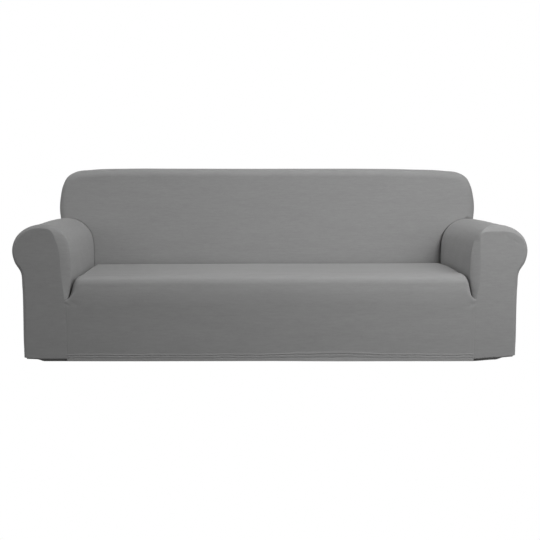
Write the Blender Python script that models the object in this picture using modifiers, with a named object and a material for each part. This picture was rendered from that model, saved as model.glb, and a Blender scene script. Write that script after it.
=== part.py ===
"""Stretch slipcover for a three-seat sofa with rolled arms, in the shape that it has on the sofa.

The sofa is left out, so the cover is a hollow of thin cloth that is open at its hem.
Seven panels are cut and sewn together:
  seat_front              the seat and, in one length with it, the front down to the hem
  inside_back             the front of the back, wrapped over its top and its two sides
  outside_back            the flat rear
  arm_right, arm_left     up from the seat, over the roll and down the outside of the arm
  arm_front_right, _left  the flat end of each arm

Frame: metres, +Z up, +X to the right of someone who faces the sofa, the front faces -Y.
The origin is the centre of the footprint, at the level of the lowest hem.
"""

from collections import namedtuple

import bmesh
import bpy
import numpy as np

# The cloth and its seams
CLOTH = 0.002  # thickness of the cloth
HALF_GAP = 0.0002  # each panel stops this far short of its seam line
TUCK_GAP = 0.001  # and the seat this far short of the arms, down in the tucks beside them

# The whole cover
FRONT_Y = -0.440  # the flat front of the arms and the lower front
REAR_Y = 0.443  # the flat rear, before its slight crown
TUCK_Z = 0.262  # the cloth is tucked down to this level between seat, arms and back
ARM_HEM_Z = 0.012  # the hem under the arms and behind; under the seat it hangs to 0

# Each arm
CORNER_DEPTH = 0.021  # the front corner is rounded no deeper than this
CORNER_POWER = 2.2  # 2 would make that corner an ellipse, more makes it squarer
ARM_MIDDLE_Y = 0.180  # where the arm's rear section applies, at the face of the back
CREASE_DEPTH = 0.008  # how far arm and back sink into the crease between them
CREASE_RUN = 0.012  # the length over which the arm rolls into that crease
ROLL_ENDS_Y = 0.400  # behind this the roll has faded into the flat side

# The back
BACK_CORNER = 0.045  # radius from the face of the back to its top and sides
REAR_CORNER = 0.025  # radius from the sides and top to the rear
REAR_CROWN = 0.001
REAR_MIDDLE_Z = 0.400  # height of that crown's highest point
REAR_RINGS = (0.97, 0.80, 0.50, 0.0)  # sizes of the rings inside the rear panel's edge
NEAR = 0.003  # how far along an outline, as a share, its direction is measured

# The seat
SEAT_EDGE = 0.022  # width of the seat's rounded edge beside the arms
SEAT_HALF_REAR = 0.869  # half of the seat's width at its rear and at its front
SEAT_HALF_FRONT = 0.842
BROW_Y = -0.360  # in front of this the seat turns down to the front
SEAT_CROWN = 0.004
FRONT_CROWN = 0.004
CROWN_RUN = 0.100  # over this length the two crowns rise and fade
CROWN_POWER = 4  # how flat the crowns are across their middle
TUCK_FADE = 0.050  # where the tuck is shallower than this, its wall leans out to the seam
TUCK_TURN = 3.0  # how soon the cloth turns down into a deep tuck
TUCK_DROP = 1.6  # how late it has come down
SEAM_X = 0.870  # the upright seams between the front and the arm fronts
SEAM_LEANS_Z = 0.200  # above this they lean out to the notches where the tucks end

# The folded hem under the arm fronts
FOLD_BACK = 0.018  # how far the hem steps back under the arm
FOLD_ENDS_X = (0.970, 1.000)  # outside this the fold shrinks to a rolled edge
FOLD_LEAST = 0.35  # the rolled edge, as a share of the whole fold

# The right arm, from the tuck beside the seat, over the roll and down to the hem:
# place, x and z at the arm's front, x and z at its rear, reach of the front corner inwards
ARM_ROWS = (
    ("tuck", 0.8640, 0.262, 0.8800, 0.262, 0.010),
    ("inner low", 0.8520, 0.330, 0.8785, 0.330, 0.030),
    ("inner", 0.8480, 0.405, 0.8780, 0.405, 0.040),
    ("inner high", 0.8500, 0.465, 0.8820, 0.465, 0.040),
    ("inner turn", 0.8620, 0.515, 0.8960, 0.511, 0.038),
    ("shoulder", 0.8850, 0.551, 0.9260, 0.547, 0.030),
    ("top in", 0.9150, 0.572, 0.9600, 0.568, 0.020),
    ("top", 0.9500, 0.5815, 0.9990, 0.578, 0.015),
    ("junction", 0.9850, 0.579, 1.0530, 0.574, 0.013),
    ("roll crest", 1.0350, 0.560, 1.0750, 0.559, 0.012),
    ("roll high", 1.0700, 0.528, 1.0860, 0.528, 0.012),
    ("roll", 1.0890, 0.475, 1.0900, 0.475, 0.012),
    ("roll low", 1.0800, 0.422, 1.0800, 0.422, 0.012),
    ("pinch", 1.0570, 0.381, 1.0570, 0.381, 0.012),
    ("side high", 1.0530, 0.320, 1.0530, 0.320, 0.014),
    ("side", 1.0540, 0.170, 1.0540, 0.170, 0.016),
    ("side low", 1.0530, 0.050, 1.0530, 0.050, 0.016),
    ("hem", 1.0490, ARM_HEM_Z, 1.0490, ARM_HEM_Z, 0.016),
)
# The seat and the front, from the tuck behind the seat to the hem: place, y, z
SEAT_ROWS = (
    ("tuck", 0.1846, TUCK_Z),
    ("rear wall", 0.1760, 0.300),
    ("rear wall top", 0.1690, 0.328),
    ("rear edge", 0.1600, 0.3430),
    ("deck rear", 0.1350, 0.3490),
    ("deck", 0.0900, 0.3500),
    ("deck front", -0.3000, 0.3500),
    ("brow top", -0.4120, 0.3497),
    ("brow", -0.4235, 0.3455),
    ("brow front", -0.4295, 0.3370),
    ("brow low", -0.4350, 0.3080),
    ("notch", -0.4400, TUCK_Z),
    ("front high", -0.4400, 0.200),
    ("front low", -0.4400, 0.100),
    ("hem top", -0.4400, 0.036),
    ("hem", -0.4400, 0.000),
)
# The face of the back in side view: z, y
BACK_FACE_ROWS = (
    (0.262, 0.1860),
    (0.300, 0.1810),
    (0.345, 0.1780),
    (0.420, 0.1840),
    (0.550, 0.1990),
    (0.680, 0.2140),
    (0.828, 0.2320),
)
# The right half of the back's outline in front view: place, x, z
BACK_ROWS = (
    ("junction", 1.0530, 0.5740),
    ("side", 1.0575, 0.6200),
    ("side high", 1.0530, 0.6870),
    ("corner low", 1.0410, 0.7400),
    ("corner", 1.0165, 0.7850),
    ("corner high", 0.9760, 0.8090),
    ("top end", 0.9000, 0.8195),
    ("top", 0.7200, 0.8258),
    ("top inner", 0.4500, 0.8275),
    ("top middle", 0.0000, 0.8275),
)


ArmRow = namedtuple("ArmRow", "place front_x front_z rear_x rear_z corner")
SeatRow = namedtuple("SeatRow", "place y z")
BackRow = namedtuple("BackRow", "place x z")
ARM = {row[0]: ArmRow(*row) for row in ARM_ROWS}
SEAT = {row[0]: SeatRow(*row) for row in SEAT_ROWS}
BACK = {row[0]: BackRow(*row) for row in BACK_ROWS}


def ease(t):
    """0 before 0, 1 after 1, and a smooth step between."""
    t = np.clip(t, 0.0, 1.0)
    return t * t * (3.0 - 2.0 * t)


def knots_along(rows):
    """The share of a polyline's length at each of its points."""
    steps = np.linalg.norm(np.diff(rows, axis=0), axis=1)
    along = np.concatenate([[0.0], np.cumsum(steps)])
    return along / along[-1]


def smooth_weights(knots, at):
    """Weights of a smooth curve through its points: Hermite pieces with parabolic slopes."""
    count = len(knots)
    step = np.diff(knots)
    slope = np.zeros((count, count))
    slope[0, 0], slope[0, 1] = -1.0 / step[0], 1.0 / step[0]
    slope[-1, -2], slope[-1, -1] = -1.0 / step[-1], 1.0 / step[-1]
    for i in range(1, count - 1):
        before, after = step[i - 1], step[i]
        slope[i, i - 1] = -after / before / (before + after)
        slope[i, i] = (after / before - before / after) / (before + after)
        slope[i, i + 1] = before / after / (before + after)
    at = np.clip(np.asarray(at, float), 0.0, 1.0)
    piece = np.clip(np.searchsorted(knots, at, side="right") - 1, 0, count - 2)
    width = step[piece]
    t = ((at - knots[piece]) / width)[..., None]
    points = np.eye(count)
    return (
        (2 * t**3 - 3 * t**2 + 1) * points[piece]
        + (t**3 - 2 * t**2 + t) * width[..., None] * slope[piece]
        + (3 * t**2 - 2 * t**3) * points[piece + 1]
        + (t**3 - t**2) * width[..., None] * slope[piece + 1]
    )


def spanned(left, right, bottom, top):
    """A smooth sheet between four edges: left and right run up, bottom and top run across."""
    up = knots_along(left)[:, None, None]
    across = knots_along(bottom)[None, :, None]
    sides = left[:, None] * (1 - across) + right[:, None] * across
    ends = bottom[None] * (1 - up) + top[None] * up
    lower = left[0] * (1 - across) + right[0] * across
    upper = left[-1] * (1 - across) + right[-1] * across
    return sides + ends - lower * (1 - up) - upper * up


# ---- the right arm ----

ARM_TABLE = np.array([row[1:] for row in ARM_ROWS])
ARM_KNOTS = knots_along(ARM_TABLE[:, 0:2])
ARM_AT = {row[0]: knot for row, knot in zip(ARM_ROWS, ARM_KNOTS)}


def arm_section(v, y):
    """x and z of the arm's surface at the place v along its section and the depth y."""
    weights = smooth_weights(ARM_KNOTS, v)
    front, rear = weights @ ARM_TABLE[:, 0:2], weights @ ARM_TABLE[:, 2:4]
    share = ease((y - FRONT_Y) / (ARM_MIDDLE_Y - FRONT_Y))[..., None]
    return front + (rear - front) * share


def arm_outward(v, y):
    """The direction out of the arm's section, in x and z."""
    ahead = arm_section(np.minimum(v + NEAR, 1.0), y)
    behind = arm_section(np.maximum(v - NEAR, 0.0), y)
    run = ahead - behind
    run /= np.linalg.norm(run, axis=-1, keepdims=True)
    return np.stack([-run[..., 1], run[..., 0]], axis=-1)


def arm_corner(v):
    """How far the front corner reaches inwards, and how far back from the flat front."""
    reach = smooth_weights(ARM_KNOTS, v) @ ARM_TABLE[:, 4]
    return reach, np.minimum(reach, CORNER_DEPTH)


def squarish(turn):
    """The two shares, of reach and depth, that a corner has come round at an angle."""
    power = 2.0 / CORNER_POWER
    return 1.0 - np.maximum(np.cos(turn), 0.0) ** power, np.maximum(np.sin(turn), 0.0) ** power


def back_face(z):
    """y of the face of the back at a height."""
    rows = np.array(BACK_FACE_ROWS)
    knots = (rows[:, 0] - rows[0, 0]) / (rows[-1, 0] - rows[0, 0])
    return smooth_weights(knots, (z - rows[0, 0]) / (rows[-1, 0] - rows[0, 0])) @ rows[:, 1]


def crease_y(v):
    """How far back the arm reaches: to the back's face, then round the back's side corner."""
    x, z = np.moveaxis(arm_section(v, ARM_MIDDLE_Y), -1, 0)
    side = np.clip((x - BACK["junction"].x + BACK_CORNER) / BACK_CORNER, 0.0, 1.0)
    side = np.where(v >= ARM_AT["junction"], 1.0, side)
    level = np.where(v >= ARM_AT["top"], BACK["junction"].z, z)
    return back_face(level) + BACK_CORNER * (1.0 - np.sqrt(1.0 - side**2))


def crease_sink(v):
    """How far the surfaces sink into the crease between arm and back."""
    fade = (v - ARM_AT["top in"]) / (ARM_AT["junction"] - ARM_AT["top in"])
    return CREASE_DEPTH * (1.0 - ease(fade))


def arm_front_seam(v):
    """x and z of the seam between the arm and its front panel."""
    reach, depth = arm_corner(v)
    start = FRONT_Y + depth
    return arm_section(v, start) - reach[..., None] * arm_outward(v, start)


def crease_line(v):
    """The seam at the bottom of the crease between arm and back."""
    y = crease_y(v)
    flat = arm_section(v, y) - crease_sink(v)[..., None] * arm_outward(v, y)
    return np.stack([flat[..., 0], y + crease_sink(v), flat[..., 1]], axis=-1)


def arm_points(v, turns, lengths, sinks):
    """The arm from its front seam to the crease: the rounded front corner at the angles
    turns, the long run at the shares lengths, and the roll into the crease at sinks."""
    v = v[:, None]
    reach, depth = arm_corner(v)
    start = FRONT_Y + depth
    out = arm_outward(v, start)
    base = arm_section(v, start)
    columns = []
    for turn in turns:
        inward, forward = squarish(turn)
        columns.append((base - (reach * inward)[..., None] * out, start - depth * forward))
    stop = crease_y(v) - CREASE_RUN
    for share in lengths:
        y = start + (stop - start) * share
        columns.append((arm_section(v, y), y))
    for share in sinks:
        y = stop + (CREASE_RUN + crease_sink(v)) * share
        sunk = crease_sink(v) * share**2
        columns.append((arm_section(v, y) - sunk[..., None] * arm_outward(v, y), y))
    flats = np.concatenate([flat for flat, _ in columns], axis=1)
    ys = np.concatenate([y for _, y in columns], axis=1)
    return np.stack([flats[..., 0], ys, flats[..., 1]], axis=-1)


def arm_rear_points(v, lengths, turns):
    """The outside of the arm behind the face of the back, where the roll fades, and the
    rounded corner to the rear."""
    v = v[:, None]
    begin, stop = crease_y(v), REAR_Y - REAR_CORNER
    flat_side = ARM_AT["side high"]
    to_side = ease((v - ARM_AT["junction"]) / (flat_side - ARM_AT["junction"]))
    side_x = BACK["junction"].x + (ARM["side high"].rear_x - BACK["junction"].x) * to_side
    columns = []
    for share in lengths:
        y = begin + (stop - begin) * share
        x, z = np.moveaxis(arm_section(v, y), -1, 0)
        fade = ease((y - begin) / (ROLL_ENDS_Y - begin)) * (v < flat_side)
        columns.append(np.stack([x + (side_x - x) * fade, y, z], axis=-1))
    end = columns[-1]
    for turn in turns:
        inward = REAR_CORNER * (1.0 - np.cos(turn))
        back = REAR_CORNER * np.sin(turn)
        columns.append(end + np.array([-inward, back, 0.0]))
    return np.concatenate(columns, axis=1)


# ---- the back ----

CORNER_SHARE = 0.096  # the middle of the outline's rounded corner, as a share of its length


def back_outline(share):
    """x and z of the back's outline, from the right arm over the top to the left arm."""
    right = np.array([row[1:] for row in BACK_ROWS])
    rows = np.concatenate([right, right[-2::-1] * [-1.0, 1.0]])
    return smooth_weights(knots_along(rows), share) @ rows


def back_outward(share):
    """The direction out of the back's outline, in x and z."""
    ahead = back_outline(np.minimum(share + NEAR, 1.0))
    behind = back_outline(np.maximum(share - NEAR, 0.0))
    run = ahead - behind
    run[(share <= 0.0) | (share >= 1.0), 0] = 0.0
    run /= np.linalg.norm(run, axis=-1, keepdims=True)
    return np.stack([run[..., 1], -run[..., 0]], axis=-1)


def back_face_edge(share):
    """The edge of the back's flat face, where the rounded corner to its top and sides starts."""
    flat = back_outline(share) - BACK_CORNER * back_outward(share)
    return np.stack([flat[..., 0], back_face(flat[..., 1]), flat[..., 1]], axis=-1)


def back_face_points(v, shares):
    """The face of the back, spanned between the tuck behind the seat, its top edge, and its
    two sides: the creases beside the arms, then its own edge up to the rounded corners."""
    crease = crease_line(v)
    crease[:, 0] -= HALF_GAP * (1.0 + (v < ARM_AT["shoulder"]))
    beside = shares[(shares > 0.0) & (shares <= CORNER_SHARE)]
    right = np.concatenate([crease, back_face_edge(beside)])
    left = right * [-1.0, 1.0, 1.0]
    over = back_face_edge(shares[(shares >= CORNER_SHARE) & (shares <= 1.0 - CORNER_SHARE)])
    across = knots_along(over)
    under = right[0] + (left[0] - right[0]) * across[:, None]
    points = spanned(right, left, under, over)
    near = np.minimum(across, 1.0 - across) * 2.0 * crease[0, 0]
    depth = np.concatenate([crease_sink(v), 0.0 * beside])[:, None]
    edges = points[:, [0, -1], 1]
    points[..., 1] = back_face(points[..., 2]) + depth * np.clip(1.0 - near / CREASE_RUN, 0, 1)
    points[:, [0, -1], 1] = edges
    return points


def back_wrap_points(v, shares, lengths, rear_turns):
    """The back's rounded front corner, its top and sides, and its rounded rear corner. The
    first and the last row lie along the arms' tops, through the same places v."""
    side_x = arm_section(v, ARM_MIDDLE_Y)[:, 0]
    turns = np.arcsin(np.clip(1.0 - (BACK["junction"].x - side_x) / BACK_CORNER, 0.0, 1.0))
    flat, out = back_outline(shares)[:, None], back_outward(shares)[:, None]
    edge = back_face_edge(shares)[:, None]
    columns = []
    for turn in turns:
        at = flat - BACK_CORNER * (1.0 - np.sin(turn)) * out
        y = edge[..., 1] + BACK_CORNER * (1.0 - np.cos(turn))
        columns.append(np.stack([at[..., 0], y, at[..., 1]], axis=-1))
    begin, stop = columns[-1][..., 1], REAR_Y - REAR_CORNER
    for share in lengths:
        y = begin + (stop - begin) * share
        columns.append(np.stack([flat[..., 0], y, flat[..., 1]], axis=-1))
    for turn in rear_turns:
        at = flat - REAR_CORNER * (1.0 - np.cos(turn)) * out
        y = stop + REAR_CORNER * np.sin(turn) + 0.0 * begin
        columns.append(np.stack([at[..., 0], y, at[..., 1]], axis=-1))
    points = np.concatenate(columns, axis=1)
    along_arm = crease_line(v)
    points[0, : len(v)] = along_arm
    points[-1, : len(v)] = along_arm * [-1.0, 1.0, 1.0]
    return points


def outside_back_points(rim):
    """The flat rear with its slight crown, in rings that shrink from its rim to its middle."""
    middle = np.array([0.0, REAR_Y, REAR_MIDDLE_Z])
    away = np.linalg.norm(rim - middle, axis=1).max()
    sizes = np.array([1.0 - 2.0 * HALF_GAP / away, *REAR_RINGS])
    rings = middle + (rim - middle) * sizes[:, None, None]
    rings[..., 1] = REAR_Y + REAR_CROWN * (1.0 - sizes[:, None] ** 2)
    return rings


# ---- the seat and the front ----

SEAT_TABLE = np.array([row[1:] for row in SEAT_ROWS])
SEAT_KNOTS = knots_along(SEAT_TABLE)
SEAT_AT = {row[0]: knot for row, knot in zip(SEAT_ROWS, SEAT_KNOTS)}


def tuck_line(run):
    """x and y of the arm's lower edge, at a distance from the notch on the front."""
    radius = ARM["tuck"].corner
    turn = np.clip(run / radius, 0.0, np.pi / 2)
    straight = np.maximum(run - radius * np.pi / 2, 0.0)
    inward, forward = squarish(np.pi / 2 - turn)
    y = FRONT_Y + radius * (1.0 - forward) + straight
    x = arm_section(np.zeros_like(y), y)[..., 0] + radius * inward
    return x, y


def front_seam_x(z):
    """x of the upright seam on the front, which leans out to the notch at its top."""
    notch_x = ARM["tuck"].front_x + ARM["tuck"].corner
    return SEAM_X + (notch_x - SEAM_X) * ease((z - SEAM_LEANS_Z) / (TUCK_Z - SEAM_LEANS_Z))


def brow_place():
    """Where along the profile the brow starts."""
    fine = np.linspace(SEAT_AT["deck front"], SEAT_AT["brow top"], 200)
    y = (smooth_weights(SEAT_KNOTS, fine) @ SEAT_TABLE)[:, 0]
    return np.interp(-BROW_Y, -y, fine)


def tuck_run(s):
    """How far from the notch, along the arm's lower edge, a place in the brow is tucked."""
    start = brow_place()
    share = (SEAT_AT["notch"] - s) / (SEAT_AT["notch"] - start)
    return (BROW_Y - FRONT_Y) * np.clip(share, 0.0, 1.0)


def seat_points(s, flat, tuck):
    """The right half of the seat and the front at the places s of the profile: the shares
    flat of the way across, then the shares tuck of the way down beside the arm."""
    y, z = np.moveaxis(smooth_weights(SEAT_KNOTS, s) @ SEAT_TABLE, -1, 0)
    on_seat = s < SEAT_AT["notch"] - 1e-6
    in_brow = y < BROW_Y
    brow_x, brow_y = tuck_line(tuck_run(s))
    edge_x = np.where(in_brow, brow_x, arm_section(np.zeros_like(y), y)[:, 0])
    edge_x = np.where(on_seat, edge_x, front_seam_x(z))
    edge_y = np.where(on_seat & in_brow, brow_y, y)
    edge_z = np.where(on_seat, TUCK_Z, z)
    tucked = ease(np.hypot(edge_y - y, edge_z - z) / TUCK_FADE)
    lean = np.clip((y - FRONT_Y) / (ARM_MIDDLE_Y - FRONT_Y), 0.0, 1.0)
    wall_x = SEAT_HALF_FRONT + (SEAT_HALF_REAR - SEAT_HALF_FRONT) * lean
    wall_x = edge_x + (wall_x - edge_x) * tucked
    made = []
    for across, down in [(share, 0.0) for share in flat] + [(1.0, share) for share in tuck]:
        out = 1.0 - (1.0 - down) ** (1.0 + TUCK_TURN * tucked)
        x = (wall_x - SEAT_EDGE) * across + SEAT_EDGE * out
        x = x + (edge_x - TUCK_GAP - wall_x) * down**2
        part = down**TUCK_DROP
        middle = 1.0 - np.clip(x / edge_x, 0.0, 1.0) ** CROWN_POWER
        forward = FRONT_CROWN * middle * ease((SEAT["brow"].z - z) / CROWN_RUN)
        ends = ease((y - FRONT_Y) / CROWN_RUN) * ease((SEAT["rear edge"].y - y) / CROWN_RUN)
        rise = SEAT_CROWN * middle * ends
        back = y + (edge_y - y) * part - forward
        made.append(np.stack([x, back, z + (edge_z - z) * part + rise], axis=-1))
    return np.stack(made, axis=1)


# ---- the arm fronts ----


def arm_front_points(v, hem_shares, fold_shares):
    """The flat end of the right arm, with its hem stepped back under the arm."""
    seam = arm_front_seam(v)
    y = np.full(len(v), FRONT_Y)
    round_seam = np.stack([seam[:, 0], y, seam[:, 1]], axis=-1)
    first, last = ARM_AT["top in"], ARM_AT["roll high"]
    upper = round_seam[(v >= first - 1e-9) & (v <= last + 1e-9)]
    outer = round_seam[v >= last - 1e-9][::-1]
    inner = round_seam[v <= first + 1e-9]
    low_z = ARM_HEM_Z + (TUCK_Z - ARM_HEM_Z) * hem_shares[:-1]
    low = np.stack([front_seam_x(low_z), np.full(len(low_z), FRONT_Y), low_z], axis=-1)
    inner = np.concatenate([low, inner])
    height = np.interp(knots_along(inner), knots_along(outer), np.arange(len(outer)))
    whole = np.floor(np.minimum(height, len(outer) - 1.001)).astype(int)
    part = (height - whole)[:, None]
    outer = outer[whole] * (1 - part) + outer[whole + 1] * part
    width = knots_along(upper)[:, None]
    hem = inner[0] * (1 - width) + outer[0] * width
    face = spanned(inner, outer, hem, upper)
    first_x, last_x = FOLD_ENDS_X
    size = 1.0 - (1.0 - FOLD_LEAST) * ease((hem[:, 0] - first_x) / (last_x - first_x))
    folds = []
    for back, drop in fold_shares:
        shift = np.stack([0 * size, FOLD_BACK * back * size, -ARM_HEM_Z * drop * size], axis=-1)
        folds.append(hem + shift)
    return np.concatenate([np.array(folds[::-1]), face])


# ---- meshes ----


def short_of_seams(points, sides=("first row", "last row", "first column", "last column")):
    """Draws the outermost rows and columns in by half of the seam gap."""
    made = points.copy()
    picks = {
        "first row": (np.s_[0], np.s_[1]),
        "last row": (np.s_[-1], np.s_[-2]),
        "first column": (np.s_[:, 0], np.s_[:, 1]),
        "last column": (np.s_[:, -1], np.s_[:, -2]),
    }
    for side in sides:
        edge, inner = picks[side]
        step = made[inner] - made[edge]
        made[edge] += step / np.linalg.norm(step, axis=-1, keepdims=True) * HALF_GAP
    return made


def add_grid(shape, points):
    """Adds a grid of quads whose corners are the points, row by row."""
    rows, columns = points.shape[:2]
    made = bmesh.ops.create_grid(shape, x_segments=columns - 1, y_segments=rows - 1, size=1.0)
    for vertex, point in zip(made["verts"], points.reshape(-1, 3)):
        vertex.co = point


def cloth_panel(name, grids, middle, material, mirrored=False):
    """One panel: its grids joined, faced away from the middle, and given its thickness."""
    shape = bmesh.new()
    for points in grids:
        add_grid(shape, points * ([-1.0, 1.0, 1.0] if mirrored else [1.0, 1.0, 1.0]))
    bmesh.ops.remove_doubles(shape, verts=shape.verts, dist=0.00005)
    bmesh.ops.recalc_face_normals(shape, faces=shape.faces)
    facing = 0.0
    for face in shape.faces:
        face.smooth = True
        away = np.array(face.calc_center_median()) - middle * ([-1, 1, 1] if mirrored else [1, 1, 1])
        facing += float(np.array(face.normal) @ away) * face.calc_area()
    if facing < 0.0:
        bmesh.ops.reverse_faces(shape, faces=shape.faces)
    mesh = bpy.data.meshes.new(name)
    shape.to_mesh(mesh)
    shape.free()
    mesh.materials.append(material)
    panel = bpy.data.objects.new(name, mesh)
    bpy.data.collections["sofa_slipcover"].objects.link(panel)
    thick = panel.modifiers.new("cloth", "SOLIDIFY")
    thick.thickness = CLOTH
    thick.offset = -1.0
    thick.use_even_offset = True
    return panel


def cover_fabric():
    """Mid-grey stretch knit."""
    material = bpy.data.materials.new("cover_fabric")
    material.use_nodes = True
    shader = material.node_tree.nodes["Principled BSDF"]
    shader.inputs["Base Color"].default_value = (0.21, 0.21, 0.21, 1.0)
    shader.inputs["Roughness"].default_value = 0.92
    shader.inputs["Metallic"].default_value = 0.0
    return material


def start_scene():
    for old in list(bpy.data.objects):
        bpy.data.objects.remove(old, do_unlink=True)
    bpy.context.scene.collection.children.link(bpy.data.collections.new("sofa_slipcover"))


def over_arm_places():
    """Where the back's side corner crosses the arm's top, at even angles of that corner."""
    fine = np.linspace(ARM_AT["top in"], ARM_AT["junction"], 200)
    x = arm_section(fine, ARM_MIDDLE_Y)[:, 0]
    turns = np.radians([0.0, 30.0, 60.0, 90.0])
    return np.interp(BACK["junction"].x - BACK_CORNER * (1.0 - np.sin(turns)), x, fine)


def arm_places(over_arm):
    """Where the arm's rows lie: twice for each row of its table, and along its top."""
    halves = (ARM_KNOTS[1:] + ARM_KNOTS[:-1]) / 2
    along = np.sort(np.concatenate([ARM_KNOTS, halves]))
    kept = along[(along < over_arm[0] - 1e-6) | (along > over_arm[-1] + 1e-6)]
    return np.sort(np.concatenate([kept, over_arm]))


def seat_places():
    """Where the seat's rows lie: twice for each row of its table, and round the arm's lower
    front corner at even angles."""
    halves = (SEAT_KNOTS[1:] + SEAT_KNOTS[:-1]) / 2
    start = brow_place()
    run = np.radians([45.0, 90.0]) * ARM["tuck"].corner
    corner = SEAT_AT["notch"] - run / (BROW_Y - FRONT_Y) * (SEAT_AT["notch"] - start)
    return np.sort(np.concatenate([SEAT_KNOTS, halves, [start], corner]))


def main():
    start_scene()
    fabric = cover_fabric()
    over_arm = over_arm_places()
    v = arm_places(over_arm)
    beside_back, outside = v[v <= over_arm[0] + 1e-9], v[v >= over_arm[-1] - 1e-9]
    quarter = np.radians([29.0, 58.0, 86.0, 90.0])

    # The arms and their fronts
    arm = arm_points(v, quarter[::-1], (0.0, 0.25, 0.5, 0.75, 1.0), (0.5, 1.0))
    arm_rear = arm_rear_points(outside, (0.0, 0.3, 0.65, 1.0), quarter)
    arm = short_of_seams(arm, ("first row", "last row", "first column"))
    inner_rows = len(v) - len(outside) + 1
    arm[:inner_rows] = short_of_seams(arm[:inner_rows], ("last column",))
    arm_rear = short_of_seams(arm_rear, ("first row", "last row", "last column"))
    arm_rear[:, 0] = arm[inner_rows - 1 :, -1]
    fold = ((0.30, 0.30), (0.85, 0.40), (1.0, 1.0))
    front = short_of_seams(arm_front_points(v, np.linspace(0, 1, 7), fold))
    for side, mirrored in (("right", False), ("left", True)):
        inside = np.array([0.97, 0.0, 0.30])
        cloth_panel("arm_" + side, (arm, arm_rear), inside, fabric, mirrored)
        cloth_panel("arm_front_" + side, (front,), inside, fabric, mirrored)

    # The seat and the front, the right half mirrored to the left
    s = seat_places()
    half = seat_points(s, (0.0, 0.25, 0.5, 0.75, 0.9, 1.0), (0.1, 0.25, 0.45, 0.7, 1.0))
    seat = np.concatenate([half[:, :0:-1] * [-1.0, 1.0, 1.0], half], axis=1)
    cloth_panel("seat_front", (short_of_seams(seat),), np.array([0.0, 0.0, 0.1]), fabric)

    # The inside back: its face, and the wrap over its top and sides
    beside = np.linspace(0.0, CORNER_SHARE, 6)
    over_top = np.linspace(CORNER_SHARE, 0.5, 14)
    over_top[1] = CORNER_SHARE + 0.006
    shares = np.concatenate([beside, over_top[1:], 1.0 - over_top[-2::-1], 1.0 - beside[-2::-1]])
    face = back_face_points(beside_back, shares)
    wrap = back_wrap_points(over_arm, shares, (0.33, 0.67, 1.0), quarter)
    wrap = short_of_seams(wrap, ("first row", "last row", "last column"))
    face = short_of_seams(face, ("first row",))
    rows = len(beside_back)
    face[:rows] = short_of_seams(face[:rows], ("first column", "last column"))
    face[rows - 1, 0], face[rows - 1, -1] = wrap[0, 0], wrap[-1, 0]
    cloth_panel("inside_back", (face, wrap), np.array([0.0, 0.33, 0.5]), fabric)

    # The outside back, in rings inside the rear seams and its hem
    rear_right = arm_rear_points(outside, (0.0, 1.0), quarter[-1:])[::-1, -1]
    over = back_wrap_points(over_arm, shares, (1.0,), quarter[-1:])[:, -1]
    rear_left = rear_right[::-1] * [-1.0, 1.0, 1.0]
    hem = rear_left[-1] + (rear_right[0] - rear_left[-1]) * np.linspace(0.0, 1.0, 13)[1:, None]
    rim = np.concatenate([rear_right, over[1:], rear_left[1:], hem])
    cloth_panel("outside_back", (outside_back_points(rim),), np.array([0.0, 0.0, 0.4]), fabric)


main()
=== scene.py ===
# %% [markdown]
# # Dressing a stretch slipcover for a three-seat sofa
# The real thing is seven panels of grey stretch knit, sewn together and stretched tight, so
# that they show a seat, a back and rolled arms. A fixed frame with that shape is read first.
# Each of its panels is then replaced by a finer sheet of cloth: a surface worked out on a
# grid, given its seams, folds and hem, and made 2 mm thick. The cover is hollow, and open
# at its hem.

# %% Read the fixed frame
from collections import namedtuple

import bmesh
import bpy
import numpy as np
from mathutils import Matrix, Vector


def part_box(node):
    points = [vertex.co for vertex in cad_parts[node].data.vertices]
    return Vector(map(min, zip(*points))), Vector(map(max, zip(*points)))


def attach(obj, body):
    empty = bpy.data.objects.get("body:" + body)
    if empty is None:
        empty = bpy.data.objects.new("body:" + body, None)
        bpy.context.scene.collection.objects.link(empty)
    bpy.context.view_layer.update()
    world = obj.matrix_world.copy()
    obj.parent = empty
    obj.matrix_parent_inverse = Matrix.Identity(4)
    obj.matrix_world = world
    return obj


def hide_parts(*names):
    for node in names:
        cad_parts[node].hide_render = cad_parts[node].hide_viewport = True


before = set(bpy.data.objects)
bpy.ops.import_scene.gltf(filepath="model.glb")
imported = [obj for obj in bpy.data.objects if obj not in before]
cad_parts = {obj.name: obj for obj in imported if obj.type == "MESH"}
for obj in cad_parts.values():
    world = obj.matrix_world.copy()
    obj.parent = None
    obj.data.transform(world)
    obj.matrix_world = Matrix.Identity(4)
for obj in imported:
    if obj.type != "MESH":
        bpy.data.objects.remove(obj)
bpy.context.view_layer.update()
print("frame nodes:", ", ".join(sorted(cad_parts)))

# %% [markdown]
# ## Sizes
# All sizes are in metres, with Z up and the front towards -Y. What the frame can say, it
# says: how far forward and back the cover reaches. The other sizes are a maker's, and each
# stands in the cell that needs it first. These few are shared by several panels.

# %% Shared sizes
FRONT_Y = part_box("arm_front_right")[0].y
REAR_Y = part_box("arm_right")[1].y
TUCK_Z = 0.262  # where the cloth ends, in the tucks beside and behind the seat
SEAT_TOP = 0.353
ARM_HEM_Z = 0.012
LEFT, BOTH, RIGHT = -1, 0, 1
ROUNDING = 1e-9  # shares that differ by no more than this are the same
print(f"the cover reaches from y = {FRONT_Y:.3f} to y = {REAR_Y:.3f} m")

# %% [markdown]
# ## Smooth curves through named places
# A section of the cover is known at a few places with names, such as the roll or the pinch
# under it. A curve object would draw a smooth line through them, but a grid needs that line
# at thousands of places at once. So the curve is a matrix of weights: multiplied with any
# table whose rows are the places, it gives the table's values between them.

# %% Weights of a smooth curve
def ease(t):
    """0 below 0, 1 above 1, and the cubic 3t2 - 2t3 between."""
    t = np.clip(t, 0.0, 1.0)
    return t * t * (3.0 - 2.0 * t)


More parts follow.
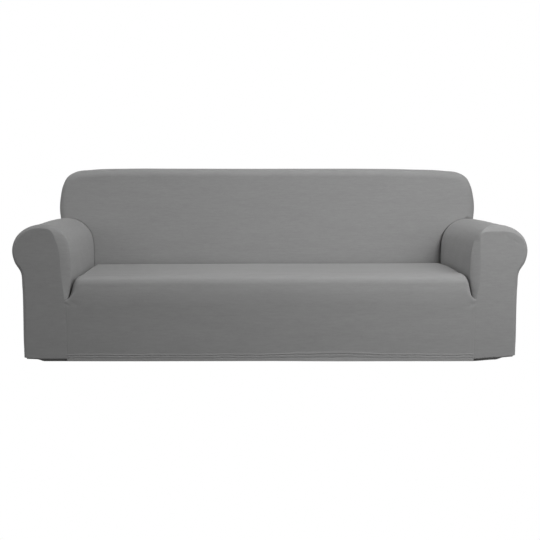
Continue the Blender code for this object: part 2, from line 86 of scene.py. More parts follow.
def knots_along(rows):
    """The share of a polyline's length at each of its points."""
    lengths = np.linalg.norm(np.diff(rows, axis=0), axis=1)
    along = np.concatenate([[0.0], np.cumsum(lengths)])
    return along / along[-1]


def smooth_weights(knots, at):
    """Cubic Hermite weights, a row for each share and a column for each knot. The slope at
    a knot is that of the parabola through it and its two neighbours, so the curve passes
    through each knot with no corner."""
    count, gap = len(knots), np.diff(knots)
    slope = np.zeros((count, count))
    slope[0, :2] = np.array([-1.0, 1.0]) / gap[0]
    slope[-1, -2:] = np.array([-1.0, 1.0]) / gap[-1]
    for i in range(1, count - 1):
        before, after = gap[i - 1], gap[i]
        slope[i, i - 1] = -after / before / (before + after)
        slope[i, i] = (after / before - before / after) / (before + after)
        slope[i, i + 1] = before / after / (before + after)
    at = np.clip(np.asarray(at, float), 0.0, 1.0)
    piece = np.clip(np.searchsorted(knots, at, side="right") - 1, 0, count - 2)
    width = gap[piece][..., None]
    t = (at - knots[piece])[..., None] / width
    points = np.eye(count)
    return (
        (2 * t**3 - 3 * t**2 + 1) * points[piece]
        + (t**3 - 2 * t**2 + t) * width * slope[piece]
        + (3 * t**2 - 2 * t**3) * points[piece + 1]
        + (t**3 - t**2) * width * slope[piece + 1]
    )


print("weights half-way along four places:", smooth_weights(np.linspace(0, 1, 4), [0.5]).round(3))

# %% [markdown]
# ## The arm's section
# Cut across, an arm is one line of cloth: up from the tuck beside the seat, over the roll,
# in under it and down to the hem. Two profiles and a loft would do, but then the rounded
# front corner could not change along them. One table holds both outlines, at the front and
# where the arm meets the back, and how far that corner reaches inwards on either arm.

# %% Table of the arm
ArmRow = namedtuple("ArmRow", "place front_x front_z rear_x rear_z left_corner right_corner")
ARM_ROWS = (
    ArmRow("tuck", 0.8640, 0.262, 0.8800, 0.262, 0.010, 0.010),
    ArmRow("inner low", 0.8520, 0.330, 0.8785, 0.330, 0.031, 0.034),
    ArmRow("inner", 0.8480, 0.405, 0.8780, 0.405, 0.040, 0.039),
    ArmRow("inner high", 0.8500, 0.465, 0.8820, 0.465, 0.041, 0.035),
    ArmRow("inner turn", 0.8620, 0.515, 0.8960, 0.511, 0.040, 0.021),
    ArmRow("shoulder", 0.8850, 0.551, 0.9260, 0.547, 0.034, 0.007),
    ArmRow("top in", 0.9150, 0.572, 0.9600, 0.568, 0.019, 0.020),
    ArmRow("top", 0.9500, 0.5815, 0.9990, 0.578, 0.0165, 0.028),
    ArmRow("junction", 0.9850, 0.579, 1.0530, 0.574, 0.0145, 0.025),
    ArmRow("roll crest", 1.0350, 0.560, 1.0750, 0.559, 0.012, 0.017),
    ArmRow("roll high", 1.0700, 0.528, 1.0860, 0.528, 0.012, 0.012),
    ArmRow("roll", 1.0890, 0.475, 1.0900, 0.475, 0.012, 0.012),
    ArmRow("roll low", 1.0800, 0.422, 1.0800, 0.422, 0.012, 0.012),
    ArmRow("pinch", 1.0570, 0.381, 1.0570, 0.381, 0.012, 0.012),
    ArmRow("side high", 1.0530, 0.320, 1.0530, 0.320, 0.014, 0.014),
    ArmRow("side", 1.0540, 0.170, 1.0540, 0.170, 0.016, 0.016),
    ArmRow("side low", 1.0545, 0.050, 1.0530, 0.050, 0.013, 0.013),
    ArmRow("hem", 1.0535, ARM_HEM_Z, 1.0490, ARM_HEM_Z, 0.012, 0.012),
)
ARM = {row.place: row for row in ARM_ROWS}
ARM_FRONT, ARM_REAR, ARM_CORNERS = np.split(np.array([row[1:] for row in ARM_ROWS]), 3, axis=1)
ARM_KNOTS = knots_along(ARM_FRONT)
ARM_AT = {row.place: knot for row, knot in zip(ARM_ROWS, ARM_KNOTS)}
ARM_LENGTH = np.linalg.norm(np.diff(ARM_FRONT, axis=0), axis=1).sum()
print(f"the arm's section is {ARM_LENGTH:.2f} m long from tuck to hem")

# %% Points on the arm's section
ARM_MIDDLE_Y = 0.180  # from here back the section stays the same
NEAR = 0.003  # how far along an outline, as a share, its direction is measured


def arm_section(share, y):
    """x and z at a share of the section and a depth y: the smooth curve of the front
    section and that of the rear one, mixed by how far back y is."""
    share, y = np.broadcast_arrays(share, y)
    weights = smooth_weights(ARM_KNOTS, share)
    front, rear = weights @ ARM_FRONT, weights @ ARM_REAR
    return front + (rear - front) * ease((y - FRONT_Y) / (ARM_MIDDLE_Y - FRONT_Y))[..., None]


def arm_outward(share, y):
    """The section's run between two close places, turned by a quarter to point outwards."""
    ahead, behind = np.minimum(share + NEAR, 1.0), np.maximum(share - NEAR, 0.0)
    run = arm_section(ahead, y) - arm_section(behind, y)
    run /= np.linalg.norm(run, axis=-1, keepdims=True)
    return np.stack([-run[..., 1], run[..., 0]], axis=-1)


print("the arm's top is at x, z =", arm_section(ARM_AT["top"], FRONT_Y).round(3))

# %% [markdown]
# ## The arm's front corner
# Where an arm turns to its flat front, the stuffing rounds the edge and the seam is pulled
# tight across it. A quarter circle is the usual way to round an edge. This corner leaves
# the arm's inside with a close turn and meets the front at a slant, as a seam under tension
# does, so its two directions are powers of the turn. It is wide inside, small outside, and
# not quite the same on the two arms.

# %% Front corner and its seam
CORNER_DEPTH = 0.021  # the corner never reaches further back than this
CORNER_LEAN = 0.7  # 1 would cut the corner off straight, less makes it rounder


def arm_corner(share, side):
    """How far the front corner reaches inwards, and how far back."""
    reach = smooth_weights(ARM_KNOTS, share) @ ARM_CORNERS[:, 0 if side == LEFT else 1]
    return reach, np.minimum(reach, CORNER_DEPTH)


def leaning_corner(turned):
    """How far a corner has gone inwards and forward, as shares: the square of the turned
    share, and its power of twice the lean."""
    return turned**2, turned ** (2.0 * CORNER_LEAN)


def arm_front_seam(share, side):
    """x and z of the seam with the front panel: the section, drawn in by the corner."""
    reach, depth = arm_corner(share, side)
    start = FRONT_Y + depth
    return arm_section(share, start) - reach[..., None] * arm_outward(share, start)


for side_name, side in (("right", RIGHT), ("left", LEFT)):
    reach = arm_corner(ARM_AT["inner"], side)[0]
    print(f"the {side_name} arm's corner reaches {1000 * reach:.0f} mm inwards")

# %% [markdown]
# ## The back's side view and outline
# The back leans: its face is a curve of depth over height. Seen from the front, its outline
# has two soft upper corners and a top that is almost straight. A bevelled box would have
# the corners, but not the lean and the slight crown, so both lines are tables of places.

# %% Side view of the back
FaceRow = namedtuple("FaceRow", "z y")
FACE_ROWS = np.array(
    (
        FaceRow(0.262, 0.1860),
        FaceRow(0.300, 0.1810),
        FaceRow(0.345, 0.1780),
        FaceRow(0.420, 0.1840),
        FaceRow(0.550, 0.1990),
        FaceRow(0.680, 0.2140),
        FaceRow(0.828, 0.2320),
    )
)


def back_face(z):
    """y of the back's face at a height: the smooth curve through the side view."""
    height, depth = FACE_ROWS.T
    low, high = height[0], height[-1]
    return smooth_weights((height - low) / (high - low), (z - low) / (high - low)) @ depth


lean = back_face(FACE_ROWS[-1, 0]) - back_face(SEAT_TOP)
print(f"the face leans back by {1000 * lean:.0f} mm from the seat to its top")

# %% Outline of the back
BackRow = namedtuple("BackRow", "place x z")
BACK_ROWS = (
    BackRow("junction", 1.0530, 0.5740),
    BackRow("side", 1.0575, 0.6200),
    BackRow("side high", 1.0530, 0.6870),
    BackRow("corner low", 1.0410, 0.7400),
    BackRow("corner", 1.0165, 0.7850),
    BackRow("corner high", 0.9760, 0.8090),
    BackRow("top end", 0.9000, 0.8195),
    BackRow("top", 0.7200, 0.8258),
    BackRow("top inner", 0.4500, 0.8275),
    BackRow("top middle", 0.0000, 0.8275),
)
BACK = {row.place: row for row in BACK_ROWS}
BACK_CORNER = 0.045  # radius from the face to the top and the sides


def back_outline(share):
    """x and z of the outline, from the right arm over the top to the left arm: the smooth
    curve through the right half's places and their mirror images."""
    right = np.array([row[1:] for row in BACK_ROWS])
    rows = np.concatenate([right, right[-2::-1] * [-1.0, 1.0]])
    return smooth_weights(knots_along(rows), share) @ rows


def back_outward(share):
    """The outline's run between two close places, turned by a quarter to point outwards."""
    run = back_outline(np.minimum(share + NEAR, 1.0)) - back_outline(np.maximum(share - NEAR, 0.0))
    run[(share <= 0.0) | (share >= 1.0), 0] = 0.0
    run /= np.linalg.norm(run, axis=-1, keepdims=True)
    return np.stack([run[..., 1], -run[..., 0]], axis=-1)


def back_face_edge(share):
    """The edge of the flat face: the outline, drawn in by the radius of the corner."""
    flat = back_outline(share) - BACK_CORNER * back_outward(share)
    return np.stack([flat[..., 0], back_face(flat[..., 1]), flat[..., 1]], axis=-1)


print("the top's middle is at x, z =", back_outline(np.array([0.5])).round(3)[0])

# %% [markdown]
# ## The crease between arm and back
# Two stuffed pieces press on each other here, so both roll into the crease and the cloth is
# pushed in after them. Two surfaces that merely cross would meet in a hard line. So each
# one sinks by the square of the nearness, and the seam lies at the bottom, out of sight.
# The crease is a fine line on the left, and an open, dark one on the right.

# %% The crease
CREASE_DEPTHS = (0.003, 0.028)  # beside the left and the right arm
CREASE_RUN = 0.008  # how near the seam the cloth starts to sink
CREASE_GIVE = 0.15  # how far the arm gives way there, as a share of the depth


def crease_y(share):
    """How far back the arm reaches: to the face, then round the back's side corner, which
    is a quarter circle."""
    x, z = np.moveaxis(arm_section(share, ARM_MIDDLE_Y), -1, 0)
    beside = np.clip((x - BACK["junction"].x + BACK_CORNER) / BACK_CORNER, 0.0, 1.0)
    beside = np.where(share >= ARM_AT["junction"], 1.0, beside)
    level = np.where(share >= ARM_AT["top"], BACK["junction"].z, z)
    return back_face(level) + BACK_CORNER * (1.0 - np.sqrt(1.0 - beside**2))


def crease_sink(share, side):
    """Depth of the crease, which runs out over the arm's top."""
    fade = (share - ARM_AT["top in"]) / (ARM_AT["junction"] - ARM_AT["top in"])
    return CREASE_DEPTHS[0 if side == LEFT else 1] * (1.0 - ease(fade))


def crease_line(share, side):
    """The seam at the bottom of the crease: the arm's section, sunk by the crease's depth.
    It is given for the right arm, and the left one mirrors it."""
    y, sink = crease_y(share), crease_sink(share, side)
    flat = arm_section(share, y) - CREASE_GIVE * sink[..., None] * arm_outward(share, y)
    return np.stack([flat[..., 0], y + sink, flat[..., 1]], axis=-1)


print("the right crease starts at", crease_line(np.array([0.0]), RIGHT).round(3)[0])

# %% [markdown]
# ## Grids for the arm
# The arm is one panel that runs from the tuck beside the seat, over the roll and down to
# the hem. A mesh could be cut and bevelled into that shape by hand, but a grid of formulas
# keeps its seams exact. Across it, the grid takes the round front corner, the long run and
# the roll into the crease. Behind the back's face only its outside is left.

# %% Arm surfaces
REAR_CORNER = 0.025
ROLL_ENDS_Y = 0.400  # here the roll has faded into the flat side


def xyz(flat, y):
    """Points from their x and z, and their y."""
    return np.stack([flat[..., 0], np.broadcast_to(y, flat.shape[:-1]), flat[..., 1]], axis=-1)


def arm_points(share, side, corners, lengths, sinks):
    """Corner: the section, drawn in and forward by the two shares of a leaning corner.
    Run: the section at evenly spaced y. Crease: sunk by the square of the share."""
    share = share[:, None]
    reach, depth = arm_corner(share, side)
    inward, forward = leaning_corner(corners)
    start = FRONT_Y + depth
    corner = arm_section(share, start) - (reach * inward)[..., None] * arm_outward(share, start)
    sink, stop = crease_sink(share, side), crease_y(share) - CREASE_RUN
    run_y = start + (stop - start) * lengths
    sink_y = stop + (CREASE_RUN + sink) * sinks
    sunk = (CREASE_GIVE * sink * sinks**2)[..., None] * arm_outward(share, sink_y)
    parts = (
        xyz(corner, start - depth * forward),
        xyz(arm_section(share, run_y), run_y),
        xyz(arm_section(share, sink_y) - sunk, sink_y),
    )
    return np.concatenate(parts, axis=1)


def arm_rear_points(share, lengths, turns):
    """Behind the back's face the section fades into the flat side, and a quarter circle
    leads to the rear seam."""
    share = share[:, None]
    begin, stop = crease_y(share), REAR_Y - REAR_CORNER
    flat_side = ARM_AT["side high"]
    to_side = ease((share - ARM_AT["junction"]) / (flat_side - ARM_AT["junction"]))
    side_x = BACK["junction"].x + (ARM["side high"].rear_x - BACK["junction"].x) * to_side
    y = begin + (stop - begin) * lengths
    outside = xyz(arm_section(share, y), y)
    faded = ease((y - begin) / (ROLL_ENDS_Y - begin)) * (share < flat_side)
    outside[..., 0] += (side_x - outside[..., 0]) * faded
    quarter = np.stack([np.cos(turns) - 1.0, np.sin(turns), 0.0 * turns], axis=-1)
    return np.concatenate([outside, outside[:, -1:] + REAR_CORNER * quarter], axis=1)


print(f"behind the arms the side is {1000 * (REAR_Y - crease_y(1.0)):.0f} mm deep")

# %% [markdown]
# ## Grids for the back
# The face is spanned between four edges, as a drumskin is: the tuck, the two sides, and the
# top. The sides follow the arms' outline first and then the back's own. A second grid wraps
# from the face's edge over the round corner, the top and the sides, to the rear seam. One
# grid for both would be squeezed at the upper corners.

# %% Face of the back
CORNER_SHARE = 0.096  # the middle of the rounded corner, as a share of the outline
HOLLOW_RUN = 0.046  # beside the right arm the crease widens to this, down to the seat
HOLLOW_TOP = 0.560


def spanned(left, right, bottom, top):
    """A Coons patch, which has all four edges exactly: the surface between the sides plus
    the one between the ends, less the flat one between the four corners."""
    up, across = knots_along(left)[:, None, None], knots_along(bottom)[None, :, None]
    sides = left[:, None] * (1 - across) + right[:, None] * across
    ends = bottom[None] * (1 - up) + top[None] * up
    lower = left[0] * (1 - across) + right[0] * across
    upper = left[-1] * (1 - across) + right[-1] * across
    return sides + ends - lower * (1 - up) - upper * up


def back_face_points(arm_share, share):
    """The spanned face, laid on the leaning side view, and sunk towards the creases by the
    square of the nearness. On the right the sunk part widens downwards."""
    beside = share[(share > 0.0) & (share <= CORNER_SHARE)]
    edge = back_face_edge(beside)
    right, left = (np.concatenate([crease_line(arm_share, side), edge]) for side in (RIGHT, LEFT))
    left = left * [-1.0, 1.0, 1.0]
    over = back_face_edge(share[(share >= CORNER_SHARE) & (share <= 1.0 - CORNER_SHARE)])
    across = knots_along(over)
    under = right[0] + (left[0] - right[0]) * across[:, None]
    points = spanned(right, left, under, over)
    near = np.minimum(across, 1.0 - across) * (right[0, 0] - left[0, 0])
    depths = [
        np.concatenate([crease_sink(arm_share, side), 0.0 * beside])[:, None]
        for side in (RIGHT, LEFT)
    ]
    on_right = across < 0.5
    widened = ease((HOLLOW_TOP - points[..., 2]) / (HOLLOW_TOP - SEAT_TOP)) * on_right
    run = CREASE_RUN + (HOLLOW_RUN - CREASE_RUN) * widened
    edges = points[:, [0, -1], 1]
    sunk = np.where(on_right, *depths) * np.clip(1.0 - near / run, 0, 1) ** 2
    points[..., 1] = back_face(points[..., 2]) + sunk
    points[:, [0, -1], 1] = edges
    return points


corner_place = back_outline(np.array([CORNER_SHARE]))[0]
print("the face's upper right corner lies inside x, z =", corner_place.round(3))

# %% Wrap and rear of the back
REAR_CROWN = 0.001
BACK_MIDDLE_Z = 0.40


def back_wrap_points(arm_share, share, lengths, rear_turns):
    """A quarter circle from the face's edge, the depth of the back, and a smaller quarter
    circle to the rear seam. The first and last rows lie on the arms' tops."""
    side_x = arm_section(arm_share, ARM_MIDDLE_Y)[:, 0]
    turns = np.arcsin(np.clip(1.0 - (BACK["junction"].x - side_x) / BACK_CORNER, 0.0, 1.0))
    flat, out = back_outline(share)[:, None], back_outward(share)[:, None]
    corner = flat - BACK_CORNER * (1.0 - np.sin(turns))[:, None] * out
    corner_y = back_face_edge(share)[:, None, 1] + BACK_CORNER * (1.0 - np.cos(turns))
    begin, stop = corner_y[:, -1:], REAR_Y - REAR_CORNER
    depth_y = begin + (stop - begin) * lengths
    rear = flat - REAR_CORNER * (1.0 - np.cos(rear_turns))[:, None] * out
    parts = (
        xyz(corner, corner_y),
        xyz(np.repeat(flat, len(lengths), axis=1), depth_y),
        xyz(rear, stop + REAR_CORNER * np.sin(rear_turns)),
    )
    points = np.concatenate(parts, axis=1)
    points[0, : len(arm_share)] = crease_line(arm_share, RIGHT)
    points[-1, : len(arm_share)] = crease_line(arm_share, LEFT) * [-1.0, 1.0, 1.0]
    return points


def outside_back_points(rim, sizes):
    """Rings that shrink from the rim to the middle, with a crown that is a parabola."""
    middle = np.array([0.0, REAR_Y, BACK_MIDDLE_Z])
    rings = middle + (rim - middle) * sizes[:, None, None]
    rings[..., 1] = REAR_Y + REAR_CROWN * (1.0 - sizes[:, None] ** 2)
    return rings


top_y = back_face(BACK["top middle"].z)
print(f"the top is {1000 * (REAR_Y - top_y):.0f} mm deep from its face to the rear")

# %% [markdown]
# ## Side view of the seat and the front
# The seat runs in one length over its front edge and down to the hem, as the cloth does. It
# could be a box with a bevel, but a stuffed edge has no one radius: its top is nearly flat,
# the brow turns fast, and the face below it takes almost 90 mm to come upright. So this
# line is a table of places too.

# %% Table of the seat
SeatRow = namedtuple("SeatRow", "place y z")
SEAT_ROWS = (
    SeatRow("tuck", 0.1846, TUCK_Z),
    SeatRow("rear wall", 0.1760, 0.300),
    SeatRow("rear wall top", 0.1690, 0.331),
    SeatRow("rear edge", 0.1600, 0.3460),
    SeatRow("deck rear", 0.1350, 0.3520),
    SeatRow("deck", 0.0900, SEAT_TOP),
    SeatRow("deck front", -0.3000, 0.3535),
    SeatRow("brow top", -0.4110, 0.3530),
    SeatRow("brow", -0.4232, 0.3490),
    SeatRow("brow front", -0.4308, 0.3390),
    SeatRow("brow low", -0.4374, 0.3100),
    SeatRow("notch", -0.4400, TUCK_Z),
    SeatRow("front high", -0.4400, 0.200),
    SeatRow("front low", -0.4400, 0.100),
    SeatRow("hem top", -0.4400, 0.036),
    SeatRow("hem", -0.4400, 0.000),
)
SEAT = {row.place: row for row in SEAT_ROWS}
SEAT_TABLE = np.array([row[1:] for row in SEAT_ROWS])
SEAT_KNOTS = knots_along(SEAT_TABLE)
SEAT_AT = {row.place: knot for row, knot in zip(SEAT_ROWS, SEAT_KNOTS)}

# %% [markdown]
# ## The seat's edge
# Beside the arms the cloth turns down into a tuck. The tuck gets shallower over the brow,
# and ends at the notch, from where an upright seam joins the front to the arm's front. The
# panel's edge is worked out first, so that it lies on the arm's own edge at each row.

# %% Edge of the seat
SEAM_X = 0.870
SEAM_LEAN_Z = 0.200  # above this the upright seam leans out to the notch
BROW_Y = -0.360  # in front of this the tuck gets shallower
BROW_STEPS = 200


def tuck_line(run):
    """x and y of the arm's lower edge, by the distance from the notch: a leaning corner,
    then the arm's own line."""
    radius = ARM["tuck"].right_corner
    inward, forward = leaning_corner(1.0 - np.clip(run / (radius * np.pi / 2), 0.0, 1.0))
    y = FRONT_Y + radius * (1.0 - forward) + np.maximum(run - radius * np.pi / 2, 0.0)
    return arm_section(0.0, y)[..., 0] + radius * inward, y


def front_seam_x(z):
    """x of the upright seam, which leans out to the notch at its top."""
    notch_x = ARM["tuck"].front_x + ARM["tuck"].right_corner
    return SEAM_X + (notch_x - SEAM_X) * ease((z - SEAM_LEAN_Z) / (TUCK_Z - SEAM_LEAN_Z))


def tuck_run(share):
    """How far from the notch, along the arm's lower edge, a place in the brow is tucked: in
    even steps, from nothing at the notch to the full run where the brow starts."""
    fine = np.linspace(SEAT_AT["deck front"], SEAT_AT["brow top"], BROW_STEPS)
    start = np.interp(-BROW_Y, -(smooth_weights(SEAT_KNOTS, fine) @ SEAT_TABLE)[:, 0], fine)
    left_to_go = (SEAT_AT["notch"] - share) / (SEAT_AT["notch"] - start)
    return (BROW_Y - FRONT_Y) * np.clip(left_to_go, 0.0, 1.0)


def seat_edge(share, y, z):
    """x, y and z of the panel's edge, for the places of the side view: the arm's lower edge
    on the seat and in the brow, and the upright seam below the notch."""
    on_seat, in_brow = share < SEAT_AT["notch"] - ROUNDING, y < BROW_Y
    brow_x, brow_y = tuck_line(tuck_run(share))
    beside_x = np.where(in_brow, brow_x, arm_section(0.0, y)[:, 0])
    x = np.where(on_seat, beside_x, front_seam_x(z))
    return x, np.where(on_seat & in_brow, brow_y, y), np.where(on_seat, TUCK_Z, z)


print(f"the notch is at x = {front_seam_x(TUCK_Z):.3f}, z = {TUCK_Z} m")

# %% [markdown]
# ## Grid for the seat and the front
# Across the seat, each row is a flat run, a round edge and a wall that goes down into the
# tuck. Powers of one share draw all three, so no row needs a table. The stuffing then
# crowns the seat and the front a little, and bulges on the right, beside the arm.

# %% Seat surface
SEAT_HALF_FRONTS = (0.8365, 0.842)  # half width at the front, by the left and the right arm
SEAT_HALF_REAR = 0.869
SEAT_EDGE = 0.022  # how far the edge beside the arm is rounded
TUCK_GAP = 0.001  # between the seat and the arms, down in the tucks
TUCK_FADE = 0.050
TUCK_TURN = 3.0
TUCK_DROP = 1.6
SEAT_CROWN = 0.004
FRONT_CROWN = 0.004
CROWN_RUN = 0.100
CROWN_POWER = 4
SIDE_RISES = (-0.001, 0.010)  # how far the seat bulges beside the left and the right arm


def seat_points(share, flat, tuck, side_rise, half_front):
    """A right half, row by row: a flat run, and a tuck that goes out by 1 - (1 - t)^a and
    down by t^b. The deeper the tuck, the sooner it has turned upright, so a is larger. The
    crown is 1 less a power of the share across, and the bulge a sine along the arm."""
    y, z = np.moveaxis(smooth_weights(SEAT_KNOTS, share) @ SEAT_TABLE, -1, 0)
    edge_x, edge_y, edge_z = seat_edge(share, y, z)
    tucked = ease(np.hypot(edge_y - y, edge_z - z) / TUCK_FADE)
    back = np.clip((y - FRONT_Y) / (ARM_MIDDLE_Y - FRONT_Y), 0.0, 1.0)
    wall_x = half_front + (SEAT_HALF_REAR - half_front) * back
    wall_x = edge_x + (wall_x - edge_x) * tucked
    y, z, edge_x, edge_y, edge_z, wall_x, tucked = (
        a[:, None] for a in (y, z, edge_x, edge_y, edge_z, wall_x, tucked)
    )
    down = np.concatenate([0.0 * flat, tuck])[None]
    out = 1.0 - (1.0 - down) ** (1.0 + TUCK_TURN * tucked)
    x = (wall_x - SEAT_EDGE) * np.concatenate([flat, 0.0 * tuck + 1.0]) + SEAT_EDGE * out
    x = x + (edge_x - TUCK_GAP * tucked - wall_x) * down**2
    part = down**TUCK_DROP
    beside = np.clip(x / edge_x, 0.0, 1.0) ** CROWN_POWER
    forward = FRONT_CROWN * (1.0 - beside) * ease((SEAT["brow"].z - z) / CROWN_RUN)
    ends = ease((y - FRONT_Y) / CROWN_RUN) * ease((SEAT["rear edge"].y - y) / CROWN_RUN)
    along = np.clip((y - FRONT_Y) / (SEAT["rear edge"].y - FRONT_Y), 0.0, 1.0)
    bulge = side_rise * beside * (1.0 - part) * np.sin(np.pi * along)
    level = z + (edge_z - z) * part + SEAT_CROWN * (1.0 - beside) * ends + bulge
    return xyz(np.stack([x, level], axis=-1), y + (edge_y - y) * part - forward)


print("the seat's crown and its two bulges, in mm:", 1000 * np.array([SEAT_CROWN, *SIDE_RISES]))

# %% [markdown]
# ## Grid for the arm's front
# The flat end of the arm is spanned between its seams and its hem, as the face of the back
# is. Under it the hem is drawn back beneath the arm, most near the seat and hardly at all
# at the outer corner. In covers of this kind an elastic usually does that. The fold is a
# few more rows of the same grid, as a separate piece would leave a gap.

# %% Arm front surface
FOLD_BACK = 0.018
FOLD_DROP = 0.0165
FOLD_ENDS_X = (0.970, 1.000)  # here the fold starts to run out, and has run out
FOLD_LEAST = 0.35


def arm_front_points(share, side, hem_shares, folds):
    """The spanned front, and under it one row for each pair of folds: how far back and how
    far down the hem is drawn, as shares."""
    seam = xyz(arm_front_seam(share, side), FRONT_Y)
    first, last = ARM_AT["top in"], ARM_AT["roll high"]
    upper = seam[(share >= first - ROUNDING) & (share <= last + ROUNDING)]
    outer, inner = seam[share >= last - ROUNDING][::-1], seam[share <= first + ROUNDING]
    low_z = ARM_HEM_Z + (TUCK_Z - ARM_HEM_Z) * hem_shares[:-1]
    low = xyz(np.stack([front_seam_x(low_z), low_z], axis=-1), FRONT_Y)
    inner = np.concatenate([low, inner])
    at, outer_at = knots_along(inner), knots_along(outer)
    outer = np.stack([np.interp(at, outer_at, outer[:, k]) for k in range(3)], axis=-1)
    width = knots_along(upper)[:, None]
    hem = inner[0] * (1 - width) + outer[0] * width
    face = spanned(inner, outer, hem, upper)
    run_out = ease((hem[:, 0] - FOLD_ENDS_X[0]) / (FOLD_ENDS_X[1] - FOLD_ENDS_X[0]))
    size = 1.0 - (1.0 - FOLD_LEAST) * run_out
    back, drop = folds.T[..., None]
    shift = np.stack([0 * back * size, FOLD_BACK * back * size, -FOLD_DROP * drop * size], axis=-1)
    return np.concatenate([(hem + shift)[::-1], face])


print(f"the hem is drawn back by {1000 * FOLD_BACK:.0f} mm and down by {1000 * FOLD_DROP:.1f} mm")

# %% [markdown]
# ## Relief of the cloth
# Cloth isn't smooth. Along each seam it dips where the thread draws it in, and between the
# seams it lies a little unevenly, as no stuffing is quite even. Sculpting would do for one
# panel. Here each form is a height over the smooth surface, added along its normal, so that
# all panels get it from the same few formulas.

# %% Heights over the smooth surface
SEAM_DIP = 0.0003
SEAM_WIDTH = 0.002
SLACK = 0.0004
TINY = 1e-12  # stands in for the length of a normal that has none


def relieved(points, height, middle):
    """The points, moved by the height along their normals. A normal is the cross product of
    the grid's two directions, made one long and faced away from the middle."""
    normal = np.cross(np.gradient(points, axis=0), np.gradient(points, axis=1))
    normal /= np.maximum(np.linalg.norm(normal, axis=-1, keepdims=True), TINY)
    facing = np.sign((normal * (points - middle)).sum())
    return points + normal * (height * facing)[..., None]


def distances(points):
    """How far each point is from its row's first and its column's first point, in the
    cloth: the running sums of the steps between neighbours."""
    across = np.linalg.norm(np.diff(points, axis=1, prepend=points[:, :1]), axis=-1).cumsum(axis=1)
    along = np.linalg.norm(np.diff(points, axis=0, prepend=points[:1]), axis=-1).cumsum(axis=0)
    return across, along


def edge_dip(points, sides):
    """A bell-shaped dip along the named sides, by the distance from them in the cloth."""
    across, along = distances(points)
    away = {
        "first column": across,
        "last column": across[:, -1:] - across,
        "last row": along[-1:] - along,
    }
    return -SEAM_DIP * sum(np.exp(-((away[side] / SEAM_WIDTH) ** 2)) for side in sides)


def slack(points):
    """A slow unevenness of the stretched cloth: two waves that are crossed by two others,
    and a fine one that wanders. The factors are radians for each metre."""
    x, y, z = np.moveaxis(points, -1, 0)
    waves = (
        np.sin(7.1 * x + 3.0 * z + 1.3) * np.sin(5.3 * z + 2.1 * y)
        + np.sin(13.7 * x - 9.0 * z + 0.4) * np.sin(11.0 * z + 6.0 * y + 2.0)
        + 0.5 * np.sin(3.0 * x + 41.0 * (z + y) + 1.5 * np.sin(4.0 * x))
    )
    return SLACK * waves


print(f"seams dip by {1000 * SEAM_DIP} mm, and the cloth is uneven by {1000 * SLACK} mm")

# %% [markdown]
# ## The hem
# The cloth is turned up by 30 mm and sewn down with two rows of stitches. That makes a step
# where it is double, and a groove under each row, which puckers as the thread pulls. A bump
# map could draw it, but the hem ends in plain view, so it is real relief. Right of the
# middle the hem is a little loose: it stands wider there and its edge flares out.

# %% Relief of the hem
HEM_THICK = 0.0012
HEM_HEIGHT = 0.030
HEM_STEP = 0.004  # over how much height the double cloth's step runs out
HEM_BAND = 0.040  # above this the hem leaves no trace
HemLine = namedtuple("HemLine", "height depth")
HEM_LINES = (HemLine(0.0125, 0.0008), HemLine(0.0235, 0.0016))
STITCH_WIDTH = 0.0018
PUCKER = 0.35
PUCKER_PITCH = 0.011
Stray = namedtuple("Stray", "height rate start")
STRAYS = (Stray(0.0007, 23.0, 0.0), Stray(0.0005, 61.0, 1.0))
LOOSE_X = 0.270
LOOSE_WIDTH = 0.200
LOOSE_SHARE = 0.26  # how much wider the hem is there
HEM_FLARES = (0.0008, 0.0040)  # how far its edge stands out, at least and at most


def looseness(along):
    """How loose the hem is: a bell along it."""
    return np.exp(-(((along - LOOSE_X) / LOOSE_WIDTH) ** 2))


def hem_level(height, along):
    """Where a line drawn at this height runs: higher where the hem is loose, and strayed by
    two sine waves."""
    stray = sum(wave.height * np.sin(along * wave.rate + wave.start) for wave in STRAYS)
    return height * (1.0 + LOOSE_SHARE * looseness(along)) + stray


def hem_relief(height, along):
    """The doubled hem is a step, and each row of stitches lies in a bell-shaped groove that
    strays with it. The cloth puckers between the stitches by a sine wave."""
    pucker = 1.0 + PUCKER * np.sin(along * 2 * np.pi / PUCKER_PITCH)
    past_step = (height - hem_level(HEM_HEIGHT, along)) / HEM_STEP
    relief = HEM_THICK * (1.0 - ease(past_step + 0.5))
    for line in HEM_LINES:
        off = (height - hem_level(line.height, along)) / STITCH_WIDTH
        relief = relief - line.depth * pucker * np.exp(-(off**2))
    return relief * (height < HEM_BAND)


def hem_flare(height, along):
    """Below the lower row of stitches the hem's edge stands out, most where it is loose."""
    least, most = HEM_FLARES
    below = 1.0 - height / hem_level(HEM_LINES[0].height, along)
    return (least + (most - least) * looseness(along)) * np.clip(below, 0.0, 1.0)


print("the rows of stitches run at", [f"{1000 * line.height} mm" for line in HEM_LINES])
